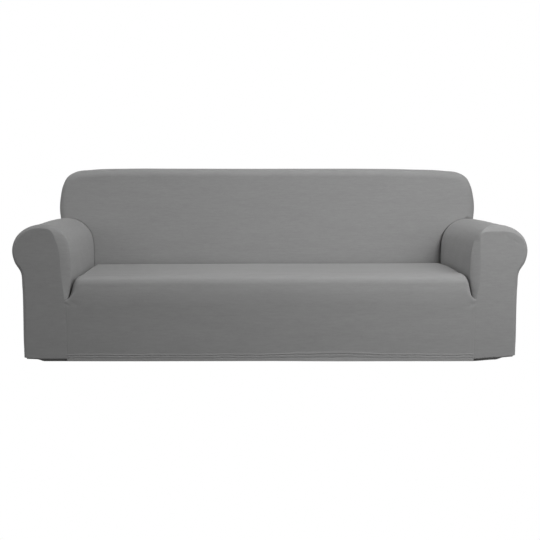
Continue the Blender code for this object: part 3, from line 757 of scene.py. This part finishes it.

# %% [markdown]
# ## Pulls at the notches
# Where the tuck ends, all its tension meets in one point, and short folds fan out from it.
# A few more show at the arms' upper seams. A cloth simulation would put folds somewhere,
# but not these, so each one is listed with its own sizes.

# %% Short folds
Pull = namedtuple("Pull", "side x0 z0 x1 z1 width height")
PULLS = (
    Pull(BOTH, 0.880, 0.262, 0.852, 0.249, 0.0045, 0.0016),
    Pull(BOTH, 0.880, 0.250, 0.846, 0.236, 0.0050, -0.0016),
    Pull(RIGHT, 0.866, 0.262, 0.830, 0.222, 0.0070, -0.0016),
    Pull(RIGHT, 0.875, 0.256, 0.855, 0.205, 0.0080, 0.0010),
    Pull(LEFT, 0.866, 0.262, 0.815, 0.238, 0.0080, -0.0014),
    Pull(RIGHT, 0.887, 0.545, 0.886, 0.470, 0.0030, 0.0013),
    Pull(RIGHT, 1.015, 0.525, 1.050, 0.500, 0.0040, -0.0010),
    Pull(RIGHT, 0.985, 0.545, 1.005, 0.520, 0.0040, -0.0008),
)
PULL_DEPTH = 0.050  # folds stay this near to the front
SEAM_FADE = 0.006  # they run out this near to the seam above the notch
EDGE_FADE = 0.008  # and this near below the level of the notch


def pull_relief(points, side=BOTH):
    """Each pull is a soft trough or ridge along a short line on the front: a bell across
    it, and a sine along it. It fades out at the arm's lower edge. The side is given where
    the points are those of a panel that is mirrored later."""
    x, y, z = np.abs(points[..., 0]), points[..., 1], points[..., 2]
    sides = np.sign(points[..., 0]) if side == BOTH else side
    relief = np.zeros(x.shape)
    for pull in PULLS:
        start = np.array([pull.x0, pull.z0])
        run = np.array([pull.x1, pull.z1]) - start
        at = np.stack([x, z], axis=-1) - start
        share = np.clip(at @ run / (run @ run), 0.0, 1.0)
        off = np.linalg.norm(at - share[..., None] * run, axis=-1)
        shape = np.sin(np.pi * share) * np.exp(-((off / pull.width) ** 2))
        relief += pull.height * shape * ((pull.side == BOTH) | (sides == pull.side))
    above = ease((x - front_seam_x(TUCK_Z)) / SEAM_FADE)
    faded = np.where(z > TUCK_Z, above, ease((TUCK_Z - z) / EDGE_FADE))
    return relief * (y < FRONT_Y + PULL_DEPTH) * faded


print(f"{len(PULLS)} pulls, the deepest {1000 * min(pull.height for pull in PULLS):.1f} mm")

# %% [markdown]
# ## A cover that isn't quite even
# No cover is pulled on evenly. The front hem hangs a few millimetres lower towards the
# right, the arms' outer corners are drawn up, and the back's top stands a little higher
# right of its middle. Points are moved up or down for that, after the relief, as a tilted
# part would no longer meet its neighbours.

# %% Uneven hem and top
HEM_SETTLE = (0.0, 0.0012, 0.0060)  # how much lower the front hem is: left, middle, right
SETTLE_HEIGHT = 0.100
SETTLE_DEPTH = 0.028
OUTER_RISES = (0.0025, 0.0055)  # how much higher it is at the left and right outer corner
OUTER_RUN = 0.240
TOP_LIFT = 0.0025
TOP_LIFT_X = 0.500
TOP_LIFT_WIDTH = 0.250


def settled(points, side=BOTH):
    """The points, with the hem let down along the front, from left to right, and drawn up at
    the arms' outer corners. Both ease out upwards, and the second also backwards."""
    made = points.copy()
    x, y, z = np.moveaxis(points * [side or 1.0, 1.0, 1.0], -1, 0)
    low = np.interp(x / SEAM_X, (-1.0, 0.0, 1.0), HEM_SETTLE) * (y < FRONT_Y + SETTLE_DEPTH)
    high = np.where(x < 0.0, *OUTER_RISES) * ease(1.0 - (y - FRONT_Y) / OUTER_RUN)
    middle_x, outer_x = FOLD_ENDS_X[0], ARM["hem"].front_x
    outer = ease((np.abs(x) - middle_x) / (outer_x - middle_x))
    inner = ease((middle_x - np.abs(x)) / (middle_x - SEAM_X))
    made[..., 2] += (high * outer - low * inner) * ease(1.0 - z / SETTLE_HEIGHT)
    return made


def top_lifted(points):
    """The points of the back, raised by a bell right of the middle, which counts in full at
    the top and not at all below half its height."""
    made = points.copy()
    bell = np.exp(-(((points[..., 0] - TOP_LIFT_X) / TOP_LIFT_WIDTH) ** 2))
    made[..., 2] += TOP_LIFT * bell * ease(points[..., 2] / BACK["top"].z - 0.5) * 2.0
    return made


print(f"the front hem hangs {1000 * HEM_SETTLE[2]:.0f} mm lower on the right")

# %% [markdown]
# ## From a grid to a mesh
# A grid becomes a mesh in one go: the corners of its quads are index arrays. The UV map
# holds real metres along the cloth, which the knit's pattern needs, as an unwrap would
# scale each panel differently.

# %% Mesh helpers
def grid_uv(points):
    """Metres along the rows and up the columns, both measured in the cloth."""
    return np.stack(distances(points), axis=-1)


def quads_of(points, middle, offset):
    """Index arrays of the quads, wound so that they face away from the middle."""
    rows, columns = points.shape[:2]
    index = np.arange(rows * columns).reshape(rows, columns) + offset
    quads = np.stack([index[:-1, :-1], index[:-1, 1:], index[1:, 1:], index[1:, :-1]], axis=-1)
    one, two = points[1:, 1:] - points[:-1, :-1], points[1:, :-1] - points[:-1, 1:]
    centre = (points[1:, 1:] + points[:-1, :-1]) / 2
    facing = (np.cross(one, two) * (centre - middle)).sum()
    return quads.reshape(-1, 4) if facing > 0 else quads.reshape(-1, 4)[:, ::-1]


def mesh_object(name, vertices, faces, uv=None):
    """A mesh object from arrays, with an optional UV for each vertex."""
    mesh = bpy.data.meshes.new(name)
    mesh.from_pydata(vertices, [], faces)
    if uv is not None:
        layer = mesh.uv_layers.new(name="cloth")
        corner = np.empty(len(mesh.loops), np.int32)
        mesh.loops.foreach_get("vertex_index", corner)
        layer.data.foreach_set("uv", uv[corner].astype(np.float32).ravel())
    made = bpy.data.objects.new(name, mesh)
    bpy.context.scene.collection.objects.link(made)
    return made


def sharpen_rims(mesh):
    """Marks the edges that only one face has, so that the cloth's cut edges, which Solidify
    makes there, don't round off the shading beside a seam."""
    edges = np.empty(len(mesh.loops), np.int32)
    mesh.loops.foreach_get("edge_index", edges)
    rims = np.bincount(edges, minlength=len(mesh.edges)) == 1
    mesh.attributes.new("sharp_edge", "BOOLEAN", "EDGE").data.foreach_set("value", rims)


def area_of(made):
    """Area of a mesh in square metres."""
    area = np.empty(len(made.data.polygons))
    made.data.polygons.foreach_get("area", area)
    return area.sum()


unit = np.stack(np.broadcast_arrays(np.arange(2.0)[:, None], 0.0, np.arange(2.0)), axis=-1)
print("a grid of one square metre has the UV", grid_uv(unit).tolist())

# %% [markdown]
# ## A panel of cloth
# Grids of one panel are merged along the line that they share. A Solidify modifier gives
# the cloth its thickness, inwards, so that the outside keeps its size, and needs no second
# surface to be worked out. The panel then takes the place of the frame's plain one, and
# the area it was cut to before it was stretched is worked out.

# %% Panel
CLOTH = 0.002
MERGE = 1e-6
CUT_SHARE = 0.93  # stretch panels are cut 7% smaller than what they cover


def cloth_panel(node, grids, middle, side=RIGHT):
    mirror = np.array([side, 1.0, 1.0])
    middle = middle * mirror
    points = [grid * mirror for grid, _ in grids]
    starts = np.cumsum([0] + [p.shape[0] * p.shape[1] for p in points[:-1]])
    faces = np.concatenate([quads_of(p, middle, start) for p, start in zip(points, starts)])
    vertices = np.concatenate([p.reshape(-1, 3) for p in points])
    uv = np.concatenate([laid_flat.reshape(-1, 2) for _, laid_flat in grids])
    made = mesh_object(node + "_cloth", vertices, faces.tolist(), uv)
    shape = bmesh.new()
    shape.from_mesh(made.data)
    bmesh.ops.remove_doubles(shape, verts=shape.verts, dist=MERGE)
    shape.to_mesh(made.data)
    shape.free()
    made.data.shade_smooth()
    sharpen_rims(made.data)
    area = area_of(made) * CUT_SHARE**2
    thick = made.modifiers.new("thickness", "SOLIDIFY")
    thick.thickness = CLOTH
    thick.offset = -1.0
    thick.use_even_offset = True
    made.data.materials.append(FABRIC)
    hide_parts(node)
    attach(made, "root")


# %% [markdown]
# ## The knit
# The cloth is a jersey of polyester and elastane, piece-dyed mid-grey, with a linen look:
# its yarns are spun thick and thin, and these slubs run across it as faint light and dark
# streaks. The looped surface scatters light evenly, so it is rough, with little specular
# and a soft sheen where it is seen from the side. A picture of cloth would repeat and be
# scaled wrong on some panel, so the streaks are noise, stretched by real sizes.
#
# The courses are about 1.2 mm apart. Those are too fine to show on a whole cover, so they
# are in the bump only, and the slubs and yarns are drawn coarser, 5 to 8 mm high.

# %% Material helpers
def linear(code):
    """The linear colour of an sRGB hex code, by the standard's two-part curve."""
    part = np.array([int(code[i : i + 2], 16) for i in (1, 3, 5)]) / 255.0
    value = np.where(part <= 0.04045, part / 12.92, ((part + 0.055) / 1.055) ** 2.4)
    return (*value.tolist(), 1.0)


def new_material(name, look):
    """A material whose shader has the values of the look on its own sockets."""
    material = bpy.data.materials.new(name)
    material.use_nodes = True
    for socket, value in look.items():
        material.node_tree.nodes["Principled BSDF"].inputs[socket].default_value = value
    return material


def add_node(tree, kind, settings, links, output=0):
    """Adds a node, sets its properties, and fills its inputs with values or links."""
    made = tree.nodes.new(kind)
    for key, value in settings.items():
        setattr(made, key, value)
    for key, value in links.items():
        if isinstance(value, bpy.types.NodeSocket):
            tree.links.new(value, made.inputs[key])
        else:
            made.inputs[key].default_value = value
    return made.outputs[output]


print("mid-grey, made linear:", np.round(linear("#999999"), 3))

# %% Stretch knit
KNIT_DARK, KNIT_LIGHT = "#999999", "#a2a2a2"
Streak = namedtuple("Streak", "name width_mm height_mm detail roughness")
STREAKS = (
    Streak("slub", 50.0, 8.0, 2.0, 0.6),
    Streak("yarn", 12.0, 5.0, 2.0, 0.6),
    Streak("cloud", 220.0, 36.0, 2.0, 0.5),  # slow unevenness of the dye
    Streak("course", 3.0, 1.2, 3.0, 0.6),
)
TONE_SHARES = {"slub": 0.45, "yarn": 0.30, "cloud": 0.25}
TONE_RANGE = (0.3, 0.7)  # noise seldom leaves it
SLUB_BUMP = 0.5
BUMP_HEIGHT = 0.0006
KNIT_LOOK = {
    "Roughness": 0.92,
    "Specular IOR Level": 0.25,
    "Sheen Weight": 0.12,
    "Sheen Roughness": 0.5,
}


def stretch_knit(name):
    """Noise of three sizes, added by its shares, moves the colour between two greys. The
    courses' noise and half of the slubs' make the bump."""
    material = new_material(name, KNIT_LOOK)
    tree, shader = material.node_tree, material.node_tree.nodes["Principled BSDF"]
    uv = add_node(tree, "ShaderNodeUVMap", {"uv_map": "cloth"}, {})
    noise = {}
    for streak in STREAKS:
        scale = (1000.0 / streak.width_mm, 1000.0 / streak.height_mm, 1.0)
        place = add_node(tree, "ShaderNodeMapping", {}, {"Vector": uv, "Scale": scale})
        look = {"Scale": 1.0, "Detail": streak.detail, "Roughness": streak.roughness}
        noise[streak.name] = add_node(
            tree, "ShaderNodeTexNoise", {"noise_dimensions": "2D"}, {"Vector": place, **look}
        )
    add = ("ShaderNodeMath", {"operation": "MULTIPLY_ADD"})
    tone = 0.0
    for streak_name, share in TONE_SHARES.items():
        tone = add_node(tree, *add, {0: noise[streak_name], 1: share, 2: tone})
    tone_places = {"Value": tone, "From Min": TONE_RANGE[0], "From Max": TONE_RANGE[1]}
    mixed = add_node(tree, "ShaderNodeMapRange", {}, tone_places)
    greys = {0: mixed, 6: linear(KNIT_DARK), 7: linear(KNIT_LIGHT)}
    colour = add_node(tree, "ShaderNodeMix", {"data_type": "RGBA"}, greys, output=2)
    relief = add_node(tree, *add, {0: noise["slub"], 1: SLUB_BUMP, 2: noise["course"]})
    bump = {"Height": relief, "Strength": 0.25, "Distance": BUMP_HEIGHT}
    tree.links.new(colour, shader.inputs["Base Color"])
    tree.links.new(add_node(tree, "ShaderNodeBump", {}, bump), shader.inputs["Normal"])
    return material


FABRIC = stretch_knit("stretch_knit_grey")
print(f"{FABRIC.name}: {len(FABRIC.node_tree.nodes)} nodes")

# %% [markdown]
# ## Places along the arm
# The grids need places that are close where the form turns and wide where it is plain. Even
# spacing would waste points on the flat sides. Seams need places that two panels share, so
# the ends of each stretch are exact.

# %% Places along the grids
BACK_TURNS = 11
CORNER_STEPS = 400
HEM_GRID = 0.045  # the grid is fine from here down to the hem


def steps(*stops):
    """Evenly spaced places between stops. A stop is a place and how many steps lead to it."""
    made = [np.array([stops[0][0]])]
    for (start, _), (stop, count) in zip(stops[:-1], stops[1:]):
        made.append(np.linspace(start, stop, count + 1)[1:])
    return np.concatenate(made)


def even_shares(count):
    """Evenly spaced shares from the first step up to 1."""
    return steps((0.0, 0), (1.0, count))[1:]


def back_corner_places(count):
    """Places along the arm's top where the back's side corner has turned by even angles."""
    fine = np.linspace(ARM_AT["top in"], ARM_AT["junction"], CORNER_STEPS)
    x = arm_section(fine, ARM_MIDDLE_Y)[:, 0]
    turned = np.sin(np.linspace(0.0, np.pi / 2, count))
    return np.interp(BACK["junction"].x - BACK_CORNER * (1.0 - turned), x, fine)


over_arm = back_corner_places(BACK_TURNS)
to_over = steps((0.0, 0), (ARM_AT["top in"], 84), (over_arm[0], 14))
hem_start = 1.0 - HEM_GRID / ARM_LENGTH
to_hem = steps((ARM_AT["junction"], 0), (ARM_AT["roll high"], 24), (hem_start, 74), (1.0, 34))
arm_shares = np.concatenate([to_over[:-1], over_arm, to_hem[1:]])
beside_back = arm_shares[arm_shares <= over_arm[0] + ROUNDING]
outside = arm_shares[arm_shares >= over_arm[-1] - ROUNDING]
corner_shares = steps((1.0, 0), (0.0, 24))
rear_turns = np.radians(steps((0, 0), (86, 8), (90, 3)))[1:]
print(f"{len(arm_shares)} places round the arm, {len(outside)} of them outside")

# %% [markdown]
# ## The arms
# Each arm is one panel: the maker cuts a single length that goes in beside the seat, over
# the top and down the outside. It is made here from two grids that share the line where
# the arm passes the back. Both arms are worked out as right ones, as that needs only one
# set of formulas, and the left one is mirrored when its mesh is made.

# %% Right and left arm
SIDES = (("right", RIGHT), ("left", LEFT))
ARM_INSIDE = np.array([0.97, 0.0, 0.30])
rear = arm_rear_points(outside, even_shares(26), rear_turns)
rows_inside = len(arm_shares) - len(outside) + 1
for side_name, side in SIDES:
    arm = arm_points(arm_shares, side, corner_shares, even_shares(84), even_shares(9))
    inner, outer = arm[:rows_inside], np.concatenate([arm[rows_inside - 1 :], rear], axis=1)
    columns = inner.shape[1]
    past_corner = ease((outer[..., 1] - FRONT_Y) / CORNER_DEPTH)
    inner_relief = edge_dip(inner, ["first column"]) + slack(inner)
    outer_relief = edge_dip(outer, ["first column", "last column"]) + slack(outer)
    outer_relief += hem_relief(outer[..., 2] - ARM_HEM_Z, outer[..., 1]) * past_corner
    inner_relief[-1] = outer_relief[0, :columns]
    inner_uv, outer_uv = grid_uv(inner), grid_uv(outer)
    outer_uv[..., 1] += inner_uv[-1, :1, 1]
    inner_made = relieved(inner, inner_relief, ARM_INSIDE)
    outer_made = settled(relieved(outer, outer_relief, ARM_INSIDE), side)
    inner_made[-1] = outer_made[0, :columns]
    grids = ((inner_made, inner_uv), (outer_made, outer_uv))
    cloth_panel("arm_" + side_name, grids, ARM_INSIDE, side)

# %% [markdown]
# ## The arm fronts
# A small panel closes the end of each arm. Its outline is the arm's own, so a flat cut-out
# would do for its shape, but not for the folds of the notch and the hem that is drawn back
# under it. It is spanned between the seams, with rows that are close where the pulls are.

# %% Arm fronts
front_hem_shares = steps((0.0, 0), (0.12, 14), (1.0, 40))
Fold = namedtuple("Fold", "back drop")
FOLDS = np.array(
    (
        Fold(0.06, 0.14),
        Fold(0.15, 0.24),
        Fold(0.30, 0.30),
        Fold(0.60, 0.35),
        Fold(0.82, 0.40),
        Fold(0.95, 0.60),
        Fold(1.00, 1.00),
    )
)
for side_name, side in SIDES:
    front = arm_front_points(arm_shares, side, front_hem_shares, FOLDS)
    front_relief = edge_dip(front, ["first column", "last column", "last row"])
    front_relief += pull_relief(front, side) + slack(front)
    front_made = settled(front + np.array([0.0, -1.0, 0.0]) * front_relief[..., None], side)
    grids = ((front_made, front[..., [0, 2]]),)
    cloth_panel("arm_front_" + side_name, grids, ARM_INSIDE, side)

# %% [markdown]
# ## The seat and the front
# This is the largest panel in view, and one length of cloth from the tuck behind the seat
# to the front hem. Separate seat and front pieces would put a seam along the brow, where
# there is none. Its two halves are worked out apart, as the stuffing bulges more beside
# the right arm, and the seat then rises a little from left to right.

# %% Points of the seat and the front
SEAT_RISE = 0.004  # how much higher the seat stands at its right end
SEAT_INSIDE = np.array([0.0, 0.0, 0.1])
rear_part = steps((0.0, 0), (SEAT_AT["rear edge"], 20), (SEAT_AT["deck rear"], 8))
deck_part = steps((SEAT_AT["deck rear"], 0), (SEAT_AT["deck front"], 50), (SEAT_AT["notch"], 44))
front_part = steps((SEAT_AT["notch"], 0), (SEAT_AT["hem top"], 40), (1.0, 32))
seat_shares = np.concatenate([rear_part[:-1], deck_part[:-1], front_part])
flat_shares = steps((0.0, 0), (0.9, 84), (1.0, 16))
left_half, right_half = (
    seat_points(seat_shares, flat_shares, even_shares(22), *half)
    for half in zip(SIDE_RISES, SEAT_HALF_FRONTS)
)
seat = np.concatenate([left_half[:, :0:-1] * [-1.0, 1.0, 1.0], right_half], axis=1)
across = np.clip((seat[..., 0] / SEAT_HALF_REAR + 1.0) / 2.0, 0.0, 1.0)
seat[..., 2] += SEAT_RISE * across * ease((seat[..., 2] - TUCK_Z) / (SEAT["deck"].z - TUCK_Z))
print(f"{seat.shape[0]} rows of {seat.shape[1]} points, {np.ptp(seat[..., 0]):.3f} m wide")

# %% Relief of the seat and the front
on_front = (seat_shares >= SEAT_AT["notch"] - ROUNDING)[:, None]
seams_and_hem = edge_dip(seat, ["first column", "last column"])
seams_and_hem += hem_relief(seat[..., 2], seat[..., 0]) + hem_flare(seat[..., 2], seat[..., 0])
seat_relief = pull_relief(seat) + slack(seat) + seams_and_hem * on_front
seat_made = settled(relieved(seat, seat_relief, SEAT_INSIDE))
seat_uv = grid_uv(seat)
middle_column = seat.shape[1] // 2
seat_uv[..., 0] -= seat_uv[:, middle_column : middle_column + 1, 0]
print(f"the relief is {1000 * seat_relief.min():.1f} to {1000 * seat_relief.max():.1f} mm high")

# %% [markdown]
# ## The stitches of the hem
# A twin-needle machine turns up the hem and leaves two parallel rows of small stitches. A
# thread goes in and out of the cloth, so each row is one thin tube on a wave, and what
# stands out of the groove shows as stitches. Separate little tubes would look the same and
# need ends. They are 6 mm apart, twice as coarse as real ones, as those would be too fine
# to show. The thread is spun polyester, dyed to the cloth and a little smoother than it,
# so it catches a bit more light.

# %% Hem stitches
STITCH_PITCH = 0.006
STITCH_STEPS = 8
THREAD_END = 0.004  # how far from the upright seams the rows end
THREAD_RADIUS = 0.0004
THREAD_WAVE = 0.00045
THREAD_SIDES = 6
THREAD_LOOK = {"Base Color": linear("#a0a0a0"), "Roughness": 0.6}
thread_grey = new_material("polyester_thread_grey", THREAD_LOOK)


def on_grid(points, row, column):
    """The points at fractional rows and columns: the mean of the four neighbours, weighted
    by their nearness."""
    i, j = np.floor(row).astype(int), np.floor(column).astype(int)
    i, j = np.minimum(i, len(points) - 2), np.minimum(j, points.shape[1] - 2)
    down, right = (row - i)[:, None], (column - j)[:, None]
    upper = points[i, j] * (1 - right) + points[i, j + 1] * right
    lower = points[i + 1, j] * (1 - right) + points[i + 1, j + 1] * right
    return upper * (1 - down) + lower * down


def thread_points(height):
    """Rings round a path that follows the groove of one row and waves in and out of it."""
    reach = SEAM_X - THREAD_END
    x = np.linspace(-reach, reach, int(2 * reach / STITCH_PITCH) * STITCH_STEPS + 1)
    column = np.interp(x, seat[-1, :, 0], np.arange(seat.shape[1]))
    row = np.interp(-hem_level(height, x), -seat[:, middle_column, 2], np.arange(len(seat)))
    path = on_grid(seat_made, row, column)
    path[:, 1] -= THREAD_WAVE * np.cos(2 * np.pi * x / STITCH_PITCH)
    turns = np.linspace(0.0, 2 * np.pi, THREAD_SIDES + 1)[:-1]
    ring = np.stack([0 * turns, np.cos(turns), np.sin(turns)], axis=-1) * THREAD_RADIUS
    return path[:, None] + ring


def tube_faces(count, sides, start):
    """Quads round a tube, the last of a ring joined to the first, and a face at each end."""
    index = np.arange(count * sides).reshape(count, sides) + start
    after = np.roll(index, -1, axis=1)
    quads = np.stack([index[:-1], index[1:], after[1:], after[:-1]], axis=-1).reshape(-1, 4)
    return quads.tolist() + [index[0].tolist(), index[-1, ::-1].tolist()]


threads = [thread_points(line.height) for line in HEM_LINES]
rings = len(threads[0])
faces = []
for number in range(len(threads)):
    faces += tube_faces(rings, THREAD_SIDES, number * rings * THREAD_SIDES)
stitches = mesh_object("hem_stitches", np.concatenate(threads).reshape(-1, 3), faces)
stitches.data.shade_smooth()
stitches.data.materials.append(thread_grey)
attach(stitches, "root")
print(f"hem stitches: {len(stitches.data.polygons)} faces")

# %% The seat's panel
seat_grids = ((seat_made, seat_uv),)
cloth_panel("seat_front", seat_grids, SEAT_INSIDE)

# %% [markdown]
# ## The inside back
# The panel that one leans on goes on over the top and round the sides, down to the seam at
# the rear. Its lower corners are cut along the arms. The face and the wrap are two grids
# that share the face's edge. Their pattern is laid out flat from that edge, so that the
# slubs run on over the corner without a break.

# %% Points of the inside back
BACK_INSIDE = np.array([0.0, 0.33, 0.5])
CORNER_RUN_OUT = 0.012  # past the corner the places stay close for this share
beside_shares = steps((0.0, 0), (CORNER_SHARE, 26))
over_shares = steps((CORNER_SHARE, 0), (CORNER_SHARE + CORNER_RUN_OUT, 8), (0.5, 84))
half_shares = np.concatenate([beside_shares, over_shares[1:]])
back_shares = np.concatenate([half_shares, 1.0 - half_shares[-2::-1]])
face = back_face_points(beside_back, back_shares)
wrap = back_wrap_points(over_arm, back_shares, even_shares(20), rear_turns)
face_made = top_lifted(relieved(face, slack(face), BACK_INSIDE))
wrap_relief = slack(wrap) + edge_dip(wrap, ["last column"])
wrap_made = top_lifted(relieved(wrap, wrap_relief, BACK_INSIDE))
first_row = len(beside_back) - 1
right_edge, left_edge = face_made[first_row:, 0], face_made[first_row:, -1]
wrap_made[:, 0] = np.concatenate([right_edge, face_made[-1, 1:-1], left_edge[::-1]])
print(f"face of {face.shape[0]} by {face.shape[1]} points, wrap of {wrap.shape[0]} by {wrap.shape[1]}")

# %% Inside back
face_uv = face[..., [0, 2]]
wrap_uv = wrap[:, :1, [0, 2]] + back_outward(back_shares)[:, None] * distances(wrap)[0][..., None]
back_grids = ((face_made, face_uv), (wrap_made, wrap_uv))
cloth_panel("inside_back", back_grids, BACK_INSIDE)

# %% [markdown]
# ## The outside back
# One flat panel closes the rear, down to the hem. Its rim follows the seams with the arms
# and the inside back point by point, and rings shrink from there to the middle. A filled
# face would close it too, but couldn't carry the hem or the cloth's slight unevenness.

# %% Outside back
HEM_POINTS = 60
MIRRORED = [-1.0, 1.0, 1.0]
rear_right = rear[::-1, -1]
to_right = even_shares(HEM_POINTS)[:, None] * [2.0, 0.0, 0.0]
hem_line = rear_right[0] * MIRRORED + rear_right[0] * to_right
rim = np.concatenate([rear_right, wrap[1:, -1], rear_right[-2::-1] * MIRRORED, hem_line])
sizes = steps((0.9996, 0), (0.99, 6), (0.9, 16), (0.5, 10), (0.0, 6))
back = outside_back_points(rim, sizes)
back_relief = slack(back) + hem_relief(back[..., 2] - ARM_HEM_Z, back[..., 0])
back_made = top_lifted(back + np.array([0.0, 1.0, 0.0]) * back_relief[..., None])
outside_grids = ((back_made, back[..., [0, 2]]),)
outside_middle = np.array([0.0, 0.0, BACK_MIDDLE_Z])
cloth_panel("outside_back", outside_grids, outside_middle)

# %% [markdown]
# ## The studio
# Catalogue pictures like this one stand on white paper that is lit until it burns out, so
# no shadow is left on it. The same is done here: the camera sees the floor and what lies
# behind it as plain white, while the cover gets only the little light that they send back.
# The paper is uncoated and matt. Lighting it as strongly as a studio does would flood the
# cover from below.

# %% Floor
HEM_TO_FLOOR = 0.0614
FLOOR_HALF = 30.0


def white_to_camera(tree, kind, lit):
    """White where the camera looks straight at it, and the given shader for all light."""
    white = add_node(tree, kind, {}, {"Color": linear("#ffffff"), "Strength": 1.0})
    seen = add_node(tree, "ShaderNodeLightPath", {}, {})
    return add_node(tree, "ShaderNodeMixShader", {}, {0: seen, 1: lit, 2: white})


paper_corners = np.array([(-1, -1), (1, -1), (1, 1), (-1, 1)]) * FLOOR_HALF
paper_points = np.column_stack([paper_corners, np.full(4, -HEM_TO_FLOOR)])
floor = mesh_object("floor", paper_points, [[0, 1, 2, 3]])
PAPER_LOOK = {"Base Color": linear("#616161"), "Roughness": 1.0}  # darker than real paper
paper = new_material("studio_paper_white", PAPER_LOOK)
tree = paper.node_tree
lit_paper = tree.nodes["Principled BSDF"].outputs[0]
seen_paper = white_to_camera(tree, "ShaderNodeEmission", lit_paper)
tree.links.new(seen_paper, tree.nodes["Material Output"].inputs["Surface"])
floor.data.materials.append(paper)
print(f"the floor lies {1000 * HEM_TO_FLOOR:.0f} mm under the hem")

# %% [markdown]
# ## The light
# The light comes from large soft lamps, more of it from the right, so the cover darkens
# slowly from right to left, and from the white room all round. One sky would light it
# evenly and lose that. A small lamp would draw hard shadows into the tucks.

# %% Lamps
Lamp = namedtuple("Lamp", "name place width height watts")
LAMPS = (
    Lamp("right_front", (1.5, -2.2, 1.9), 1.2, 1.2, 33.5),
    Lamp("right_low", (2.0, -2.8, 1.3), 1.4, 1.4, 9.0),
    Lamp("right_side", (3.6, -0.8, 1.6), 1.6, 1.6, 4.0),
    Lamp("left_side", (-3.6, -0.6, 1.6), 1.6, 1.6, 20.0),
    Lamp("top", (0.2, -0.4, 3.4), 2.4, 2.0, 27.0),
)
LAMPS_AIM = Vector((0.0, 0.0, 0.4))
AMBIENT = 0.262
for lamp in LAMPS:
    light = bpy.data.lights.new(lamp.name, "AREA")
    light.shape = "RECTANGLE"
    light.size, light.size_y, light.energy = lamp.width, lamp.height, lamp.watts
    holder = bpy.data.objects.new(lamp.name, light)
    bpy.context.scene.collection.objects.link(holder)
    holder.location = lamp.place
    holder.rotation_euler = (LAMPS_AIM - Vector(lamp.place)).to_track_quat("-Z", "Y").to_euler()

world = bpy.data.worlds.new("studio")
bpy.context.scene.world = world
world.use_nodes = True
tree = world.node_tree
room = tree.nodes["Background"]
room.inputs["Color"].default_value = linear("#ffffff")
room.inputs["Strength"].default_value = AMBIENT
seen_room = white_to_camera(tree, "ShaderNodeBackground", room.outputs[0])
tree.links.new(seen_room, tree.nodes["World Output"].inputs["Surface"])
bpy.context.scene.view_settings.view_transform = "Standard"
print(f"{len(LAMPS)} lamps with {sum(lamp.watts for lamp in LAMPS)} W in all")

# %% [markdown]
# ## The camera
# The camera stands where the picture was taken from: 3.5 m in front, a little left of the
# middle and 0.8 m above the floor. Its place and lens were found by matching the cover's
# modelled width, seat and top with where they lie in the picture, so they hang on the size
# that the cover is taken to have. A camera aimed by a constraint at the middle would lose
# the slight roll.

# %% Camera
CAMERA_PLACE = (-0.0888, -3.5325, 0.7506)
LENS_MM = 49.19
SENSOR_MM = 36.0
PITCH_DOWN, YAW_RIGHT, ROLL = (float(np.radians(angle)) for angle in (6.65, 1.48, 0.14))
camera = bpy.data.objects.new("camera", bpy.data.cameras.new("camera"))
bpy.context.scene.collection.objects.link(camera)
camera.data.sensor_width = SENSOR_MM
camera.data.lens = LENS_MM
turn = (
    Matrix.Rotation(-YAW_RIGHT, 4, "Z")
    @ Matrix.Rotation(float(np.pi) / 2 - PITCH_DOWN, 4, "X")
    @ Matrix.Rotation(ROLL, 4, "Z")
)
camera.matrix_world = Matrix.Translation(CAMERA_PLACE) @ turn
bpy.context.scene.camera = camera
print(f"a {LENS_MM} mm lens, {-CAMERA_PLACE[1]:.1f} m in front of the cover's middle")
